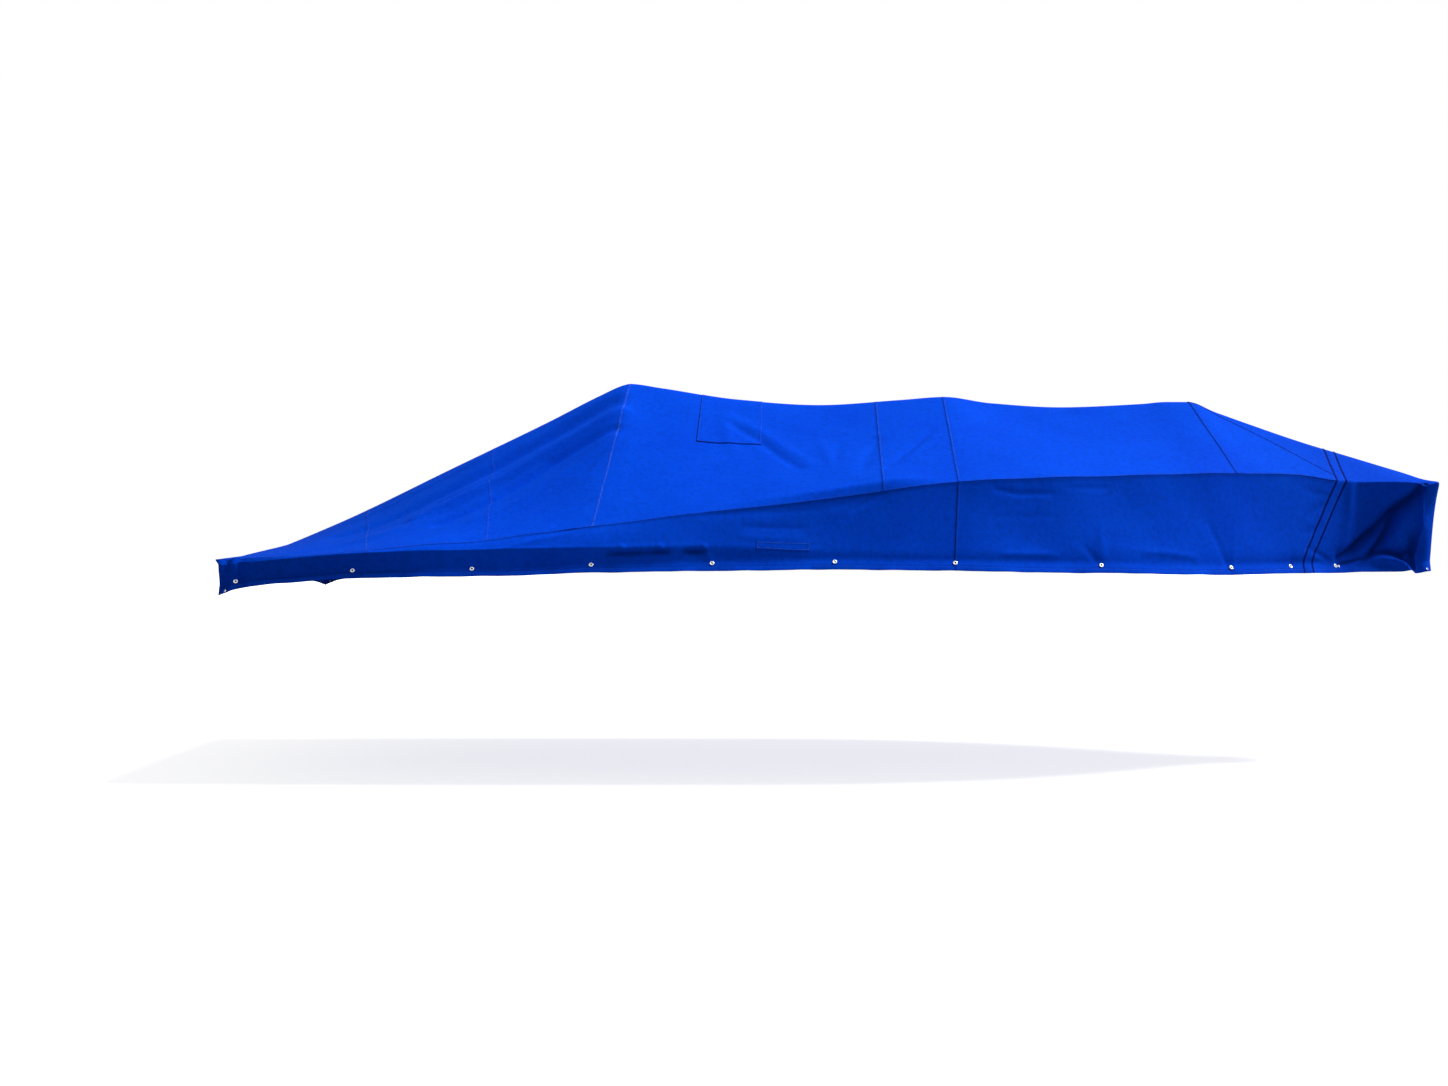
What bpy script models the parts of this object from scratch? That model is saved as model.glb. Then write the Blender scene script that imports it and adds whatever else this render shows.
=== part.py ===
"""Fitted boat cover: canvas panels, navy bindings, sewn patches and snap fasteners.

The cover has the shape in which it stands in use: a tent-like top over three high points, a brow along
each side above the long seam, steep sides down to a snapped hem, and a boxy nose at the bow end.
Metres. +X points to the bow end, +Z up, -Y is starboard. The origin is on the underside of the cloth
at the aft peak. Heights in the tables are above the hem amidships.
"""

import math
from bisect import bisect_right
from collections import namedtuple

import bmesh
import bpy
from mathutils import Matrix, Vector

for old in list(bpy.data.objects):
    bpy.data.objects.remove(old, do_unlink=True)

# ---------------------------------------------------------------- driving dimensions

PEAK_HEIGHT = 1.080         # top of the aft peak above the hem amidships
CLOTH = 0.002               # canvas with its seam allowances
SEAM_GAP = 0.0004           # between two panels at a seam
RIDGE_ROUND = 0.035         # softness of the bend over the ridge
BROW_IN = 0.045             # from the long seam inboard to the brow, the crease above it
BROW_LIP = 0.042            # how far the brow stands proud of the straight slope, at most
LIP_NARROW = 0.018          # how much nearer to the long seam the brow runs there
LIP_START, LIP_TOP, LIP_END = 0.35, 1.39, 1.80

BAND_TOP = 0.055            # flat band that carries the snaps, above the hem's edge
BAND_BOTTOM = 0.025
BAND_TOP_IN = 0.030         # how far the snaps draw the band in behind the hem's edge
BAND_BOTTOM_IN = 0.012
SNAP_RISE = 0.040           # centre of a snap above the hem's edge
SNAP_PITCH = 0.60           # usual distance between two snaps
SMALL_SNAP = 0.56           # size of a small snap beside the common one
PUFF = (0.003, 0.003, 0.003, 0.009)     # slack between snaps at knee, band top, band bottom, hem

NOSE_TOP_X = 4.710          # front of the nose at the long seam
NOSE_HEM_X = 4.652          # and at the hem
NOSE_CORNER = 0.090         # how far across the front a corner's curve runs
CORNER_COLUMNS = 4
FRONT_COLUMNS = 10          # from the corner's start to the middle of the front
FRONT_RISE = 0.012          # the front's upper edge above the nose's sides
END_RISE = 0.048            # how much higher the stern's hem runs between the two corners

BINDING_WIDTH = 0.010
BINDING_THICK = 0.0015
BINDING_GAP = 0.0005
PATCH_THICK = 0.0012
PATCH_GAP = 0.0005
PATCH_INSET = 0.003

# Foredeck wedge: half-width FOREDECK_TIP at the fore peak, wider by FOREDECK_SPREAD at the aft binding.
FOREDECK_START, FOREDECK_LENGTH = 3.30, 0.75
FOREDECK_TIP, FOREDECK_SPREAD, FOREDECK_POWER = 0.020, 0.300, 1.35
FOREDECK_STEPS = 12
FOREDECK_RUN_OUT = 0.12     # how far the two seam lines run on past the cloth they cut

CANVAS = ((0.004, 0.055, 0.52), 0.85, 0.0)      # colour, roughness and metallic
TAPE = ((0.001, 0.004, 0.10), 0.70, 0.0)
NICKEL = ((0.62, 0.64, 0.66), 0.30, 1.0)
SHARP_ANGLE = math.radians(40)

# ---------------------------------------------------------------- tables, measured along the cover


def table(columns, *rows):
    """A table as one list for each named column."""
    return {name: [row[k] for row in rows] for k, name in enumerate(columns.split())}


# The ridge sags between its three high points at x = 0, 1.87 and 3.2.
RIDGE = table(
    "x height",
    (-2.11, 0.091), (-1.63, 0.298), (-1.07, 0.570), (-0.47, 0.860), (-0.18, 1.008), (-0.03, 1.074),
    (0.00, 1.080), (0.18, 1.056), (0.65, 0.985), (1.12, 0.955), (1.60, 0.985), (1.86, 1.003),
    (2.13, 0.967), (2.55, 0.942), (3.02, 0.961), (3.17, 0.973), (3.30, 0.973), (3.46, 0.914),
    (3.97, 0.736), (4.26, 0.649), (4.44, 0.594), (4.56, 0.557), (4.63, 0.533),
)

# The long seam parts the top from the sides. It starts low at the stern and climbs to the nose.
LONG_SEAM = table(
    "x half_width height",
    (-2.11, 1.170, 0.050), (-1.36, 1.188, 0.094), (-0.70, 1.170, 0.154), (-0.14, 1.148, 0.223),
    (0.43, 1.134, 0.295), (0.95, 1.118, 0.351), (1.39, 1.100, 0.408), (1.80, 1.075, 0.466),
    (2.24, 1.026, 0.484), (2.58, 0.956, 0.498), (3.09, 0.796, 0.515), (3.40, 0.672, 0.524),
    (3.79, 0.492, 0.523), (4.05, 0.388, 0.496), (4.20, 0.345, 0.490), (4.63, 0.285, 0.485),
)

# The knee is where the side meets the straight strip above the hem. hollow draws the side in between
# the long seam and the knee, and bellies it out where it is negative.
KNEE = table(
    "x half_width height hollow",
    (-2.11, 1.190, 0.020, -0.004), (-1.46, 1.225, 0.078, -0.006), (-1.03, 1.230, 0.097, -0.007),
    (-0.13, 1.236, 0.112, -0.008), (0.55, 1.221, 0.112, 0.000), (1.00, 1.217, 0.092, 0.003), (1.80, 1.203, 0.080, 0.006),
    (2.55, 1.088, 0.080, 0.008), (3.32, 0.814, 0.070, 0.006), (3.80, 0.560, 0.066, 0.008),
    (4.03, 0.408, 0.066, 0.022), (4.25, 0.285, 0.075, 0.045), (4.57, 0.265, 0.063, 0.025),
)

HEM = table(
    "x half_width height",
    (-2.085, 1.203, -0.140), (-2.00, 1.215, -0.106), (-1.85, 1.222, -0.081), (-1.64, 1.230, -0.063),
    (-1.38, 1.238, -0.045), (-0.62, 1.250, -0.034), (-0.09, 1.252, -0.015), (0.43, 1.252, -0.008),
    (1.13, 1.250, 0.000), (1.77, 1.240, -0.008), (2.55, 1.125, -0.020), (3.32, 0.850, -0.035),
    (3.80, 0.578, -0.030), (4.03, 0.428, -0.032), (4.15, 0.362, -0.030), (4.30, 0.325, -0.027),
    (4.57, 0.295, -0.024),
)

# Each bay of the top, from one high point to the next, hollows a little below a straight slope.
BAYS = table(
    "start end hollow",
    (-2.11, 0.0, 0.018), (0.0, 1.86, 0.022), (1.86, 3.24, 0.014), (3.24, 4.70, 0.006),
)

# Lines across the cover, most of them seams, and the cells from each to the next.
Line = namedtuple("Line", "name ridge_x seam_x hem_x cells")
LINES = (
    Line("stern", -2.110, -2.110, -2.085, 1),
    Line("gather", -2.050, -2.050, -2.025, 1),
    Line("corner", -1.990, -1.990, -1.968, 4),
    Line("low_join", -1.557, -1.325, -1.325, 7),
    Line("high_join", -0.811, -0.696, -0.696, 8),
    Line("aft_peak", 0.000, -0.143, -0.143, 4),
    Line("patch_aft", 0.426, 0.360, 0.360, 4),
    Line("patch_fore", 0.788, 0.750, 0.718, 3),
    Line("low_patch_fore", 1.060, 1.020, 1.008, 4),
    Line("insert_aft", 1.451, 1.398, 1.390, 3),
    Line("insert_fore", 1.848, 1.800, 1.763, 9),
    Line("fore_peak", 3.298, 3.395, 3.330, 6),
    Line("aft_binding", 4.104, 4.052, 3.804, 1),
    Line("fore_binding", 4.166, 4.112, 3.867, 8),
    Line("nose_corner", 4.600, 4.630, 4.550, 0),
)

# Shares of the way from the ridge to the brow, and from the long seam to the knee.
TOP_SHARES = (0.0, 0.045, 0.17, 0.30, 0.43, 0.57, 0.71, 0.85, 1.0)
PATCH_SHARE = 0.43          # lower edge of the upper patch
SIDE_SHARES = (0.20, 0.40, 0.60, 0.80, 1.0)
KNEE_SHARE = 0.96           # of the way aft or forward from seam_x to hem_x, at the knee
HOLLOW_POWER = 0.75         # below 1, a side is hollowest nearer to the long seam
SEAM_ROW = len(TOP_SHARES)
KNEE_ROW = SEAM_ROW + len(SIDE_SHARES)
BAND_TOP_ROW, BAND_BOTTOM_ROW, HEM_ROW = KNEE_ROW + 1, KNEE_ROW + 2, KNEE_ROW + 3

# Tension folds: a soft ridge (+) or trough (-) from one point to another, each point given by x and
# the distance down the cloth from the ridge. side -1 is starboard, +1 port.
FOLDS = table(
    "side x_start down_start x_end down_end width depth",
    (-1, -0.07, 0.30, -1.10, 0.72, 0.070, 0.010), (-1, -0.09, 0.48, -1.00, 0.92, 0.055, -0.009),
    (-1, -0.11, 0.62, -0.52, 0.92, 0.060, 0.008), (-1, -1.10, 0.80, -1.80, 1.02, 0.100, 0.008),
    (-1, 0.66, 0.22, 1.02, 0.62, 0.060, 0.008), (-1, 0.76, 0.22, 1.14, 0.60, 0.045, -0.007),
    (-1, 1.30, 0.40, 1.20, 0.72, 0.060, 0.006), (-1, 1.46, 0.86, 1.74, 0.30, 0.060, -0.007),
    (1, -0.08, 0.36, -1.20, 0.80, 0.080, 0.009), (1, -0.10, 0.60, -0.90, 1.00, 0.065, -0.008),
    (1, 0.80, 0.25, 1.10, 0.66, 0.070, -0.007), (1, 1.50, 0.80, 1.70, 0.36, 0.070, -0.006),
    (-1, 4.06, 0.88, 4.61, 0.30, 0.055, -0.026), (-1, 4.24, 0.87, 4.43, 0.50, 0.050, -0.016),
    (-1, 4.48, 0.56, 4.52, 0.78, 0.050, -0.022), (1, 4.10, 0.88, 4.58, 0.36, 0.055, -0.024),
    (1, 4.32, 0.80, 4.50, 0.50, 0.050, -0.014),
)

# Gathers in the last hand's breadth before the stern: in and out along the valance.
STERN_GATHERS = ((-2.025, 0.008), (-1.968, -0.007))
GATHER_WIDTH = 0.025

# Snaps: place along the hem, height above the hem's edge, and size beside the common one.
SNAPS = table(
    "x rise size",
    (-2.050, 0.0125, SMALL_SNAP), (-1.997, SNAP_RISE, 1.0), (-1.382, SNAP_RISE, 1.0),
    (-0.757, SNAP_RISE, 1.0), (-0.136, SNAP_RISE, 1.0), (0.494, SNAP_RISE, 1.0),
    (1.134, SNAP_RISE, 1.0), (1.763, SNAP_RISE, 1.0), (2.550, SNAP_RISE, 1.0),
    (3.317, SNAP_RISE, 1.0), (3.713, SNAP_RISE, 1.0), (4.034, SNAP_RISE, 1.0),
    (4.062, SNAP_RISE, SMALL_SNAP),
)
NOSE_SNAP_COLUMN = 1        # one more on the nose's corner, in its first cells after this column

# Half-outline of a snap, from the dish of the cap to the socket: radius, height above the cloth.
SNAP_SIDES = 10
BARREL_RADIUS = 0.0040
SOCKET_RADIUS = 0.0075
SOCKET_DEPTH = 0.0052
SNAP_GAP = 0.0003           # between the snap and the cloth, all round
HOLE_REACH = 0.010          # how far a hole's cutter reaches past the cloth, each way
SNAP_OUTLINE = (
    (0.0045, 0.0020), (0.0085, 0.0042), (0.0125, 0.0007), (BARREL_RADIUS, SNAP_GAP),
    (BARREL_RADIUS, -CLOTH - SNAP_GAP), (SOCKET_RADIUS, -CLOTH - SNAP_GAP),
    (SOCKET_RADIUS, -CLOTH - SOCKET_DEPTH),
)

# ---------------------------------------------------------------- the cloth's surface


def curve(rows, column, x):
    """A column's value at x, on a smooth curve through the rows that never overshoots them."""
    xs, ys = rows["x"], rows[column]
    x = min(max(x, xs[0]), xs[-1])
    k = min(bisect_right(xs, x), len(xs) - 1) - 1
    steps = [xs[n + 1] - xs[n] for n in range(len(xs) - 1)]
    rises = [(ys[n + 1] - ys[n]) / steps[n] for n in range(len(steps))]

    def slope(n):
        if n == 0 or n == len(steps):
            return rises[min(n, len(steps) - 1)]
        before, after = rises[n - 1], rises[n]
        return 2 * before * after / (before + after) if before * after > 0 else 0.0

    t = (x - xs[k]) / steps[k]
    start, end = slope(k) * steps[k], slope(k + 1) * steps[k]
    bend = ys[k] * (1 + 2 * t) * (1 - t) ** 2 + ys[k + 1] * t * t * (3 - 2 * t)
    return bend + start * t * (1 - t) ** 2 - end * t * t * (1 - t)


def world_z(height):
    return height - PEAK_HEIGHT + CLOTH


def bay_hollow(x):
    """How far the top hollows at x, half-way from ridge to brow."""
    for start, end, hollow in zip(BAYS["start"], BAYS["end"], BAYS["hollow"]):
        if start <= x < end:
            return hollow * math.sin(math.pi * (x - start) / (end - start))
    return 0.0


def lip(x):
    """From 0 to 1, how much the brow stands proud of the slope above the long seam."""
    if x <= LIP_START or x >= LIP_END:
        return 0.0
    half = (LIP_TOP - LIP_START) if x < LIP_TOP else (LIP_END - LIP_TOP)
    return math.cos(0.5 * math.pi * (x - LIP_TOP) / half) ** 2


def slack(x):
    """0 at a snap and 1 midway between two that stand a full pitch apart, along the hem."""
    places = SNAPS["x"]
    k = bisect_right(places, x)
    if k == 0 or k == len(places):
        return 0.0
    apart = places[k] - places[k - 1]
    return min(apart / SNAP_PITCH, 1.0) ** 2 * math.sin(math.pi * (x - places[k - 1]) / apart)


def gather(x):
    return sum(depth * math.exp(-(((x - at) / GATHER_WIDTH) ** 2)) for at, depth in STERN_GATHERS)


def fold_lift(side, x, down):
    """Height of the tension folds above the smooth cloth."""
    lift = 0.0
    for row in zip(*FOLDS.values()):
        fold_side, x_start, down_start, x_end, down_end, width, depth = row
        if fold_side != side:
            continue
        run_x, run_down = x_end - x_start, down_end - down_start
        along = ((x - x_start) * run_x + (down - down_start) * run_down) / (run_x**2 + run_down**2)
        near = min(max(along, 0.0), 1.0)
        away = math.hypot(x - x_start - near * run_x, down - down_start - near * run_down)
        lift += depth * math.exp(-((away / width) ** 2))
    return lift


def half_section(line, side):
    """One side's points along a line across the cover, from the ridge down to the hem."""
    crest = world_z(curve(RIDGE, "height", line.ridge_x))
    seam_y = curve(LONG_SEAM, "half_width", line.seam_x)
    seam_z = world_z(curve(LONG_SEAM, "height", line.seam_x))
    brow_in = BROW_IN - LIP_NARROW * lip(line.seam_x)
    brow_y = seam_y - brow_in
    brow_z = seam_z + brow_in * (crest - seam_z) / seam_y + BROW_LIP * lip(line.seam_x)
    fall = (crest - brow_z) / (math.hypot(brow_y, RIDGE_ROUND) - RIDGE_ROUND)
    points = []
    for share in TOP_SHARES:
        y = brow_y * share
        x = line.ridge_x + (line.seam_x - line.ridge_x) * y / seam_y
        z = crest - fall * (math.hypot(y, RIDGE_ROUND) - RIDGE_ROUND)
        points.append(Vector((x, y, z - bay_hollow(x) * math.sin(math.pi * share))))
    seam = Vector((line.seam_x, seam_y, seam_z))
    points.append(seam)

    knee_x = line.seam_x + KNEE_SHARE * (line.hem_x - line.seam_x)
    knee_y, knee_height, hollow = (curve(KNEE, name, knee_x) for name in ("half_width", "height", "hollow"))
    knee = Vector((knee_x, knee_y, world_z(knee_height)))
    for share in SIDE_SHARES:
        point = seam.lerp(knee, share)
        point.y -= hollow * math.sin(math.pi * share**HOLLOW_POWER)
        points.append(point)
    hem_y = curve(HEM, "half_width", line.hem_x)
    hem_z = world_z(curve(HEM, "height", line.hem_x))
    points.append(Vector((line.hem_x, hem_y - BAND_TOP_IN, hem_z + BAND_TOP)))
    points.append(Vector((line.hem_x, hem_y - BAND_BOTTOM_IN, hem_z + BAND_BOTTOM)))
    points.append(Vector((line.hem_x, hem_y, hem_z)))
    for row, puff in zip(range(KNEE_ROW, HEM_ROW + 1), PUFF):
        points[row].y += puff * slack(line.hem_x) + gather(line.hem_x)
    return fold_and_turn(points, side)


def fold_and_turn(points, side):
    """Raise the folds on a half-section and put it on its own side."""
    folded = [points[0].copy()]
    down = 0.0
    for row in range(1, len(points)):
        down += (points[row] - points[row - 1]).length
        above, below = points[row - 1], points[min(row + 1, len(points) - 1)]
        out = Vector((0.0, above.z - below.z, below.y - above.y)).normalized()
        lift = fold_lift(side, points[row].x, down) if row < KNEE_ROW + 1 else 0.0
        folded.append(points[row] + out * lift)
    for point in folded:
        point.y *= side
    return folded


def nose_front(corner, column, side):
    """The long seam's and side's points in a column of the nose's front, counted from its corner."""
    points = []
    for row in range(SEAM_ROW, HEM_ROW + 1):
        start = corner[row]
        depth = (corner[SEAM_ROW].z - start.z) / (corner[SEAM_ROW].z - corner[HEM_ROW].z)
        front_x = NOSE_TOP_X + depth * (NOSE_HEM_X - NOSE_TOP_X)
        turn = 0.5 * math.pi * min(column / CORNER_COLUMNS, 1.0)
        straight = max(column - CORNER_COLUMNS, 0) / (FRONT_COLUMNS - CORNER_COLUMNS)
        x = start.x + (front_x - start.x) * math.sin(turn)
        y = (abs(start.y) - NOSE_CORNER) * (1 - straight) + NOSE_CORNER * math.cos(turn)
        z = start.z + FRONT_RISE * (1 - depth) * math.sin(turn)
        points.append(Vector((x, side * y, z)))
    return points


# ---------------------------------------------------------------- one skin, cut into panels


def lines_across():
    """Every line across the cover, with the column number at which each named one stands."""
    every, start = [], {}
    for this, following in zip(LINES, LINES[1:]):
        start[this.name] = len(every)
        for cell in range(this.cells):
            share = cell / this.cells
            places = [a + share * (b - a) for a, b in zip(this[1:4], following[1:4])]
            every.append(Line(this.name, *places, 0))
    start[LINES[-1].name] = len(every)
    every.append(LINES[-1])
    return every, start


ACROSS, COLUMN = lines_across()
CORNER = COLUMN["nose_corner"]
FRONT_MIDDLE = CORNER + FRONT_COLUMNS


def key(column, row):
    """The two sides share the points in the middle of the nose's front."""
    return (column, abs(row)) if column == FRONT_MIDDLE else (column, row)


def skin_points():
    points = {}
    for side in (-1, 1):
        for column, line in enumerate(ACROSS):
            for row, point in enumerate(half_section(line, side)):
                points[key(column, side * row)] = point
        corner = half_section(ACROSS[-1], side)
        for step in range(1, FRONT_COLUMNS + 1):
            for row, point in enumerate(nose_front(corner, step, side), SEAM_ROW):
                points[key(CORNER + step, side * row)] = point
    return points


def skin_faces():
    """Corner keys of each face, with the panel that it belongs to."""
    faces = []
    for column in range(CORNER):
        for row in range(-HEM_ROW, HEM_ROW):
            corners = ((column, row), (column + 1, row), (column + 1, row + 1), (column, row + 1))
            faces.append((panel_at(column, row), corners))
    for column in range(CORNER, FRONT_MIDDLE):
        for row in (*range(-HEM_ROW, -SEAM_ROW), *range(SEAM_ROW, HEM_ROW)):
            corners = ((column, row), (column + 1, row), (column + 1, row + 1), (column, row + 1))
            faces.append(("nose", tuple(key(*corner) for corner in corners)))

    def rim(row):
        return key(FRONT_MIDDLE - abs(row), SEAM_ROW if row >= 0 else -SEAM_ROW)

    for row in range(-SEAM_ROW, SEAM_ROW):
        corners = ((CORNER, row), rim(row), rim(row + 1), (CORNER, row + 1))
        faces.append(("nose", tuple(dict.fromkeys(corners))))
    return faces


TOP_PANELS = (
    ("stern_top", "low_join"), ("aft_top_low", "high_join"), ("aft_top_high", "aft_peak"),
    ("mid_top", "insert_aft"), ("insert_top", "insert_fore"), ("fore_top", "fore_peak"),
)


def panel_at(column, row):
    """The panel of the cells after this column and row."""
    if column >= COLUMN["fore_binding"]:
        return "nose"
    if column >= COLUMN["aft_binding"]:
        return "band"
    side = "stbd" if row < 0 else "port"
    if not -SEAM_ROW <= row < SEAM_ROW:
        return ("side_aft_" if column < COLUMN["insert_fore"] else "side_fore_") + side
    for name, end in TOP_PANELS:
        if column < COLUMN[end]:
            return name
    return "wedge_" + side


class Skin:
    """The whole outer surface, with the direction in which each point's thickness is measured."""

    def __init__(self):
        self.points = skin_points()
        self.faces = skin_faces()
        mesh = bmesh.new()
        verts = {name: mesh.verts.new(point) for name, point in self.points.items()}
        for _, corners in self.faces:
            mesh.faces.new([verts[corner] for corner in corners])
        mesh.normal_update()
        self.out = {name: vert.normal * vert.calc_shell_factor() for name, vert in verts.items()}
        mesh.free()

    def panel(self, *names):
        return [corners for panel, corners in self.faces if panel in names]


# ---------------------------------------------------------------- solids

FOLDED_BACK = 0.2           # two edges' inward ways that sum to less than this cancel each other


def finish(name, look):
    """A material of a piece's own, from its colour, roughness and metallic value."""
    colour, roughness, metallic = look
    material = bpy.data.materials.new(name)
    material.use_nodes = True
    shader = material.node_tree.nodes["Principled BSDF"]
    shader.inputs["Base Color"].default_value = (*colour, 1.0)
    shader.inputs["Roughness"].default_value = roughness
    shader.inputs["Metallic"].default_value = metallic
    return material


def add_object(name, mesh, material=None):
    data = bpy.data.meshes.new(name)
    mesh.to_mesh(data)
    mesh.free()
    thing = bpy.data.objects.new(name, data)
    bpy.context.scene.collection.objects.link(thing)
    if material:
        data.materials.append(material)
    return thing


def inset_moves(points, out, faces, inset):
    """How each edge point of a panel moves inwards, so that the whole edge is drawn in by the inset."""
    owners = {}
    for corners in faces:
        for a, b in zip(corners, corners[1:] + corners[:1]):
            owners.setdefault(frozenset((a, b)), []).append((a, b))
    inward = {}
    for edges in owners.values():
        if len(edges) > 1:
            continue
        a, b = edges[0]
        along = points[b] - points[a]
        for end in (a, b):
            inward.setdefault(end, []).append(out[end].cross(along).normalized())
    moves = {}
    for name, ways in inward.items():
        total = sum(ways, Vector())
        scale = inset * len(ways) / total.length_squared if total.length > FOLDED_BACK else 0.0
        moves[name] = total * scale
    return moves, [edges[0] for edges in owners.values() if len(edges) == 1]


def split(points, corners):
    """A face as triangles, cut along its shorter diagonal, so that every layer over it bends alike."""
    if len(corners) == 3:
        return [corners]
    a, b, c, d = corners
    if (points[a] - points[c]).length <= (points[b] - points[d]).length:
        return [(a, b, c), (a, c, d)]
    return [(a, b, d), (b, c, d)]


def sheet_solid(name, points, out, faces, lower, upper, inset, material):
    """A closed sheet between two distances from the skin, drawn in at its edges."""
    moves, rim = inset_moves(points, out, faces, inset)
    mesh = bmesh.new()
    used = dict.fromkeys(corner for corners in faces for corner in corners)
    triangles = [triangle for corners in faces for triangle in split(points, corners)]
    layers = []
    for distance in (upper, lower):
        placed = {c: points[c] + out[c] * distance + moves.get(c, Vector()) for c in used}
        layers.append({c: mesh.verts.new(place) for c, place in placed.items()})
    top, bottom = layers
    for triangle in triangles:
        mesh.faces.new([top[c] for c in triangle])
        mesh.faces.new([bottom[c] for c in reversed(triangle)])
    for a, b in rim:
        mesh.faces.new((top[b], top[a], bottom[a], bottom[b]))
    mesh.normal_update()
    return add_object(name, mesh, material)


def cut(thing, cutter, operation):
    modifier = thing.modifiers.new(operation.lower(), "BOOLEAN")
    modifier.operation = operation
    modifier.solver = "EXACT"
    modifier.object = cutter
    cutter.hide_render = True
    cutter.display_type = "WIRE"


def prism(name, outline, bottom, top):
    """A vertical block over a plan outline that runs anticlockwise."""
    mesh = bmesh.new()
    low = [mesh.verts.new((x, y, bottom)) for x, y in outline]
    high = [mesh.verts.new((x, y, top)) for x, y in outline]
    mesh.faces.new(high)
    mesh.faces.new(low[::-1])
    for k in range(len(outline)):
        after = (k + 1) % len(outline)
        mesh.faces.new((low[k], low[after], high[after], high[k]))
    return add_object(name, mesh)


def foredeck_half_width(x):
    along = max(x - FOREDECK_START, 0.0) / FOREDECK_LENGTH
    return FOREDECK_TIP + FOREDECK_SPREAD * along**FOREDECK_POWER


def foredeck_block(name, wider):
    """A block whose sides stand on the two gusset seams, wider than the foredeck by the given amount."""
    start = FOREDECK_START - FOREDECK_RUN_OUT
    run = FOREDECK_LENGTH + 2 * FOREDECK_RUN_OUT
    places = [start + run * k / FOREDECK_STEPS for k in range(FOREDECK_STEPS + 1)]
    starboard = [(x, -foredeck_half_width(x) - wider) for x in places]
    port = [(x, foredeck_half_width(x) + wider) for x in reversed(places)]
    return prism(name, starboard + port, world_z(0.0), world_z(PEAK_HEIGHT + FOREDECK_RUN_OUT))


def ring(mesh, frame, radius, height):
    angles = [2 * math.pi * (k + 0.5) / SNAP_SIDES for k in range(SNAP_SIDES)]
    around = [Vector((radius * math.cos(a), radius * math.sin(a), height)) for a in angles]
    return [mesh.verts.new(frame @ point) for point in around]


def turned(mesh, frame, outline):
    """A closed turned body: the outline runs from its front face to its back face."""
    rings = [ring(mesh, frame, radius, height) for radius, height in outline]
    mesh.faces.new(rings[0])
    mesh.faces.new(rings[-1][::-1])
    for front, back in zip(rings, rings[1:]):
        for k in range(SNAP_SIDES):
            after = (k + 1) % SNAP_SIDES
            mesh.faces.new((front[k], back[k], back[after], front[after]))


def snap_frame(skin, column, share_x, share_up, side, lower_row):
    """Where a snap sits: its centre on the skin, its Z axis pointing out of the cloth."""
    low_aft, low_fore, high_aft, high_fore = (
        skin.points[key(column + step, side * row)] for row in (lower_row, lower_row - 1) for step in (0, 1)
    )
    low = low_aft.lerp(low_fore, share_x)
    high = high_aft.lerp(high_fore, share_x)
    forward = (low_fore - low_aft + high_fore - high_aft).normalized()
    out = forward.cross(high - low).normalized() * -side
    frame = Matrix((forward, out.cross(forward), out)).transposed().to_4x4()
    frame.translation = low.lerp(high, share_up)
    return frame


def snap_frames(skin, side):
    """Frames and sizes of one side's snaps, from the stern to the nose."""
    frames = []
    for x, rise, size in zip(SNAPS["x"], SNAPS["rise"], SNAPS["size"]):
        column = max(c for c in range(CORNER) if ACROSS[c].hem_x <= x)
        share_x = (x - ACROSS[column].hem_x) / (ACROSS[column + 1].hem_x - ACROSS[column].hem_x)
        row, share_up = HEM_ROW, rise / BAND_BOTTOM
        if rise > BAND_BOTTOM:
            row, share_up = BAND_BOTTOM_ROW, (rise - BAND_BOTTOM) / (BAND_TOP - BAND_BOTTOM)
        frames.append((snap_frame(skin, column, share_x, share_up, side, row), size))
    column = CORNER + NOSE_SNAP_COLUMN
    frames.append((snap_frame(skin, column, 0.5, 0.5, side, HEM_ROW), SMALL_SNAP))
    return frames


# ---------------------------------------------------------------- the pieces of the cover


def cloth_panel(skin, name, faces):
    material = finish(name, CANVAS)
    return sheet_solid(name, skin.points, skin.out, faces, -CLOTH, 0.0, SEAM_GAP / 2, material)


def build_panels(skin):
    """The canvas panels, each by its name."""
    names = [name for name, _ in TOP_PANELS]
    names += ["band", "nose", "side_aft_stbd", "side_aft_port", "side_fore_stbd", "side_fore_port"]
    panels = {name: cloth_panel(skin, name, skin.panel(name)) for name in names}
    inside = foredeck_block("foredeck_cutter", -SEAM_GAP / 2)
    outside = foredeck_block("gusset_cutter", SEAM_GAP / 2)
    panels["foredeck"] = cloth_panel(skin, "foredeck", skin.panel("wedge_stbd", "wedge_port"))
    cut(panels["foredeck"], inside, "INTERSECT")
    for side in ("stbd", "port"):
        panels["gusset_" + side] = cloth_panel(skin, "gusset_" + side, skin.panel("wedge_" + side))
        cut(panels["gusset_" + side], outside, "DIFFERENCE")
    return panels


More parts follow.
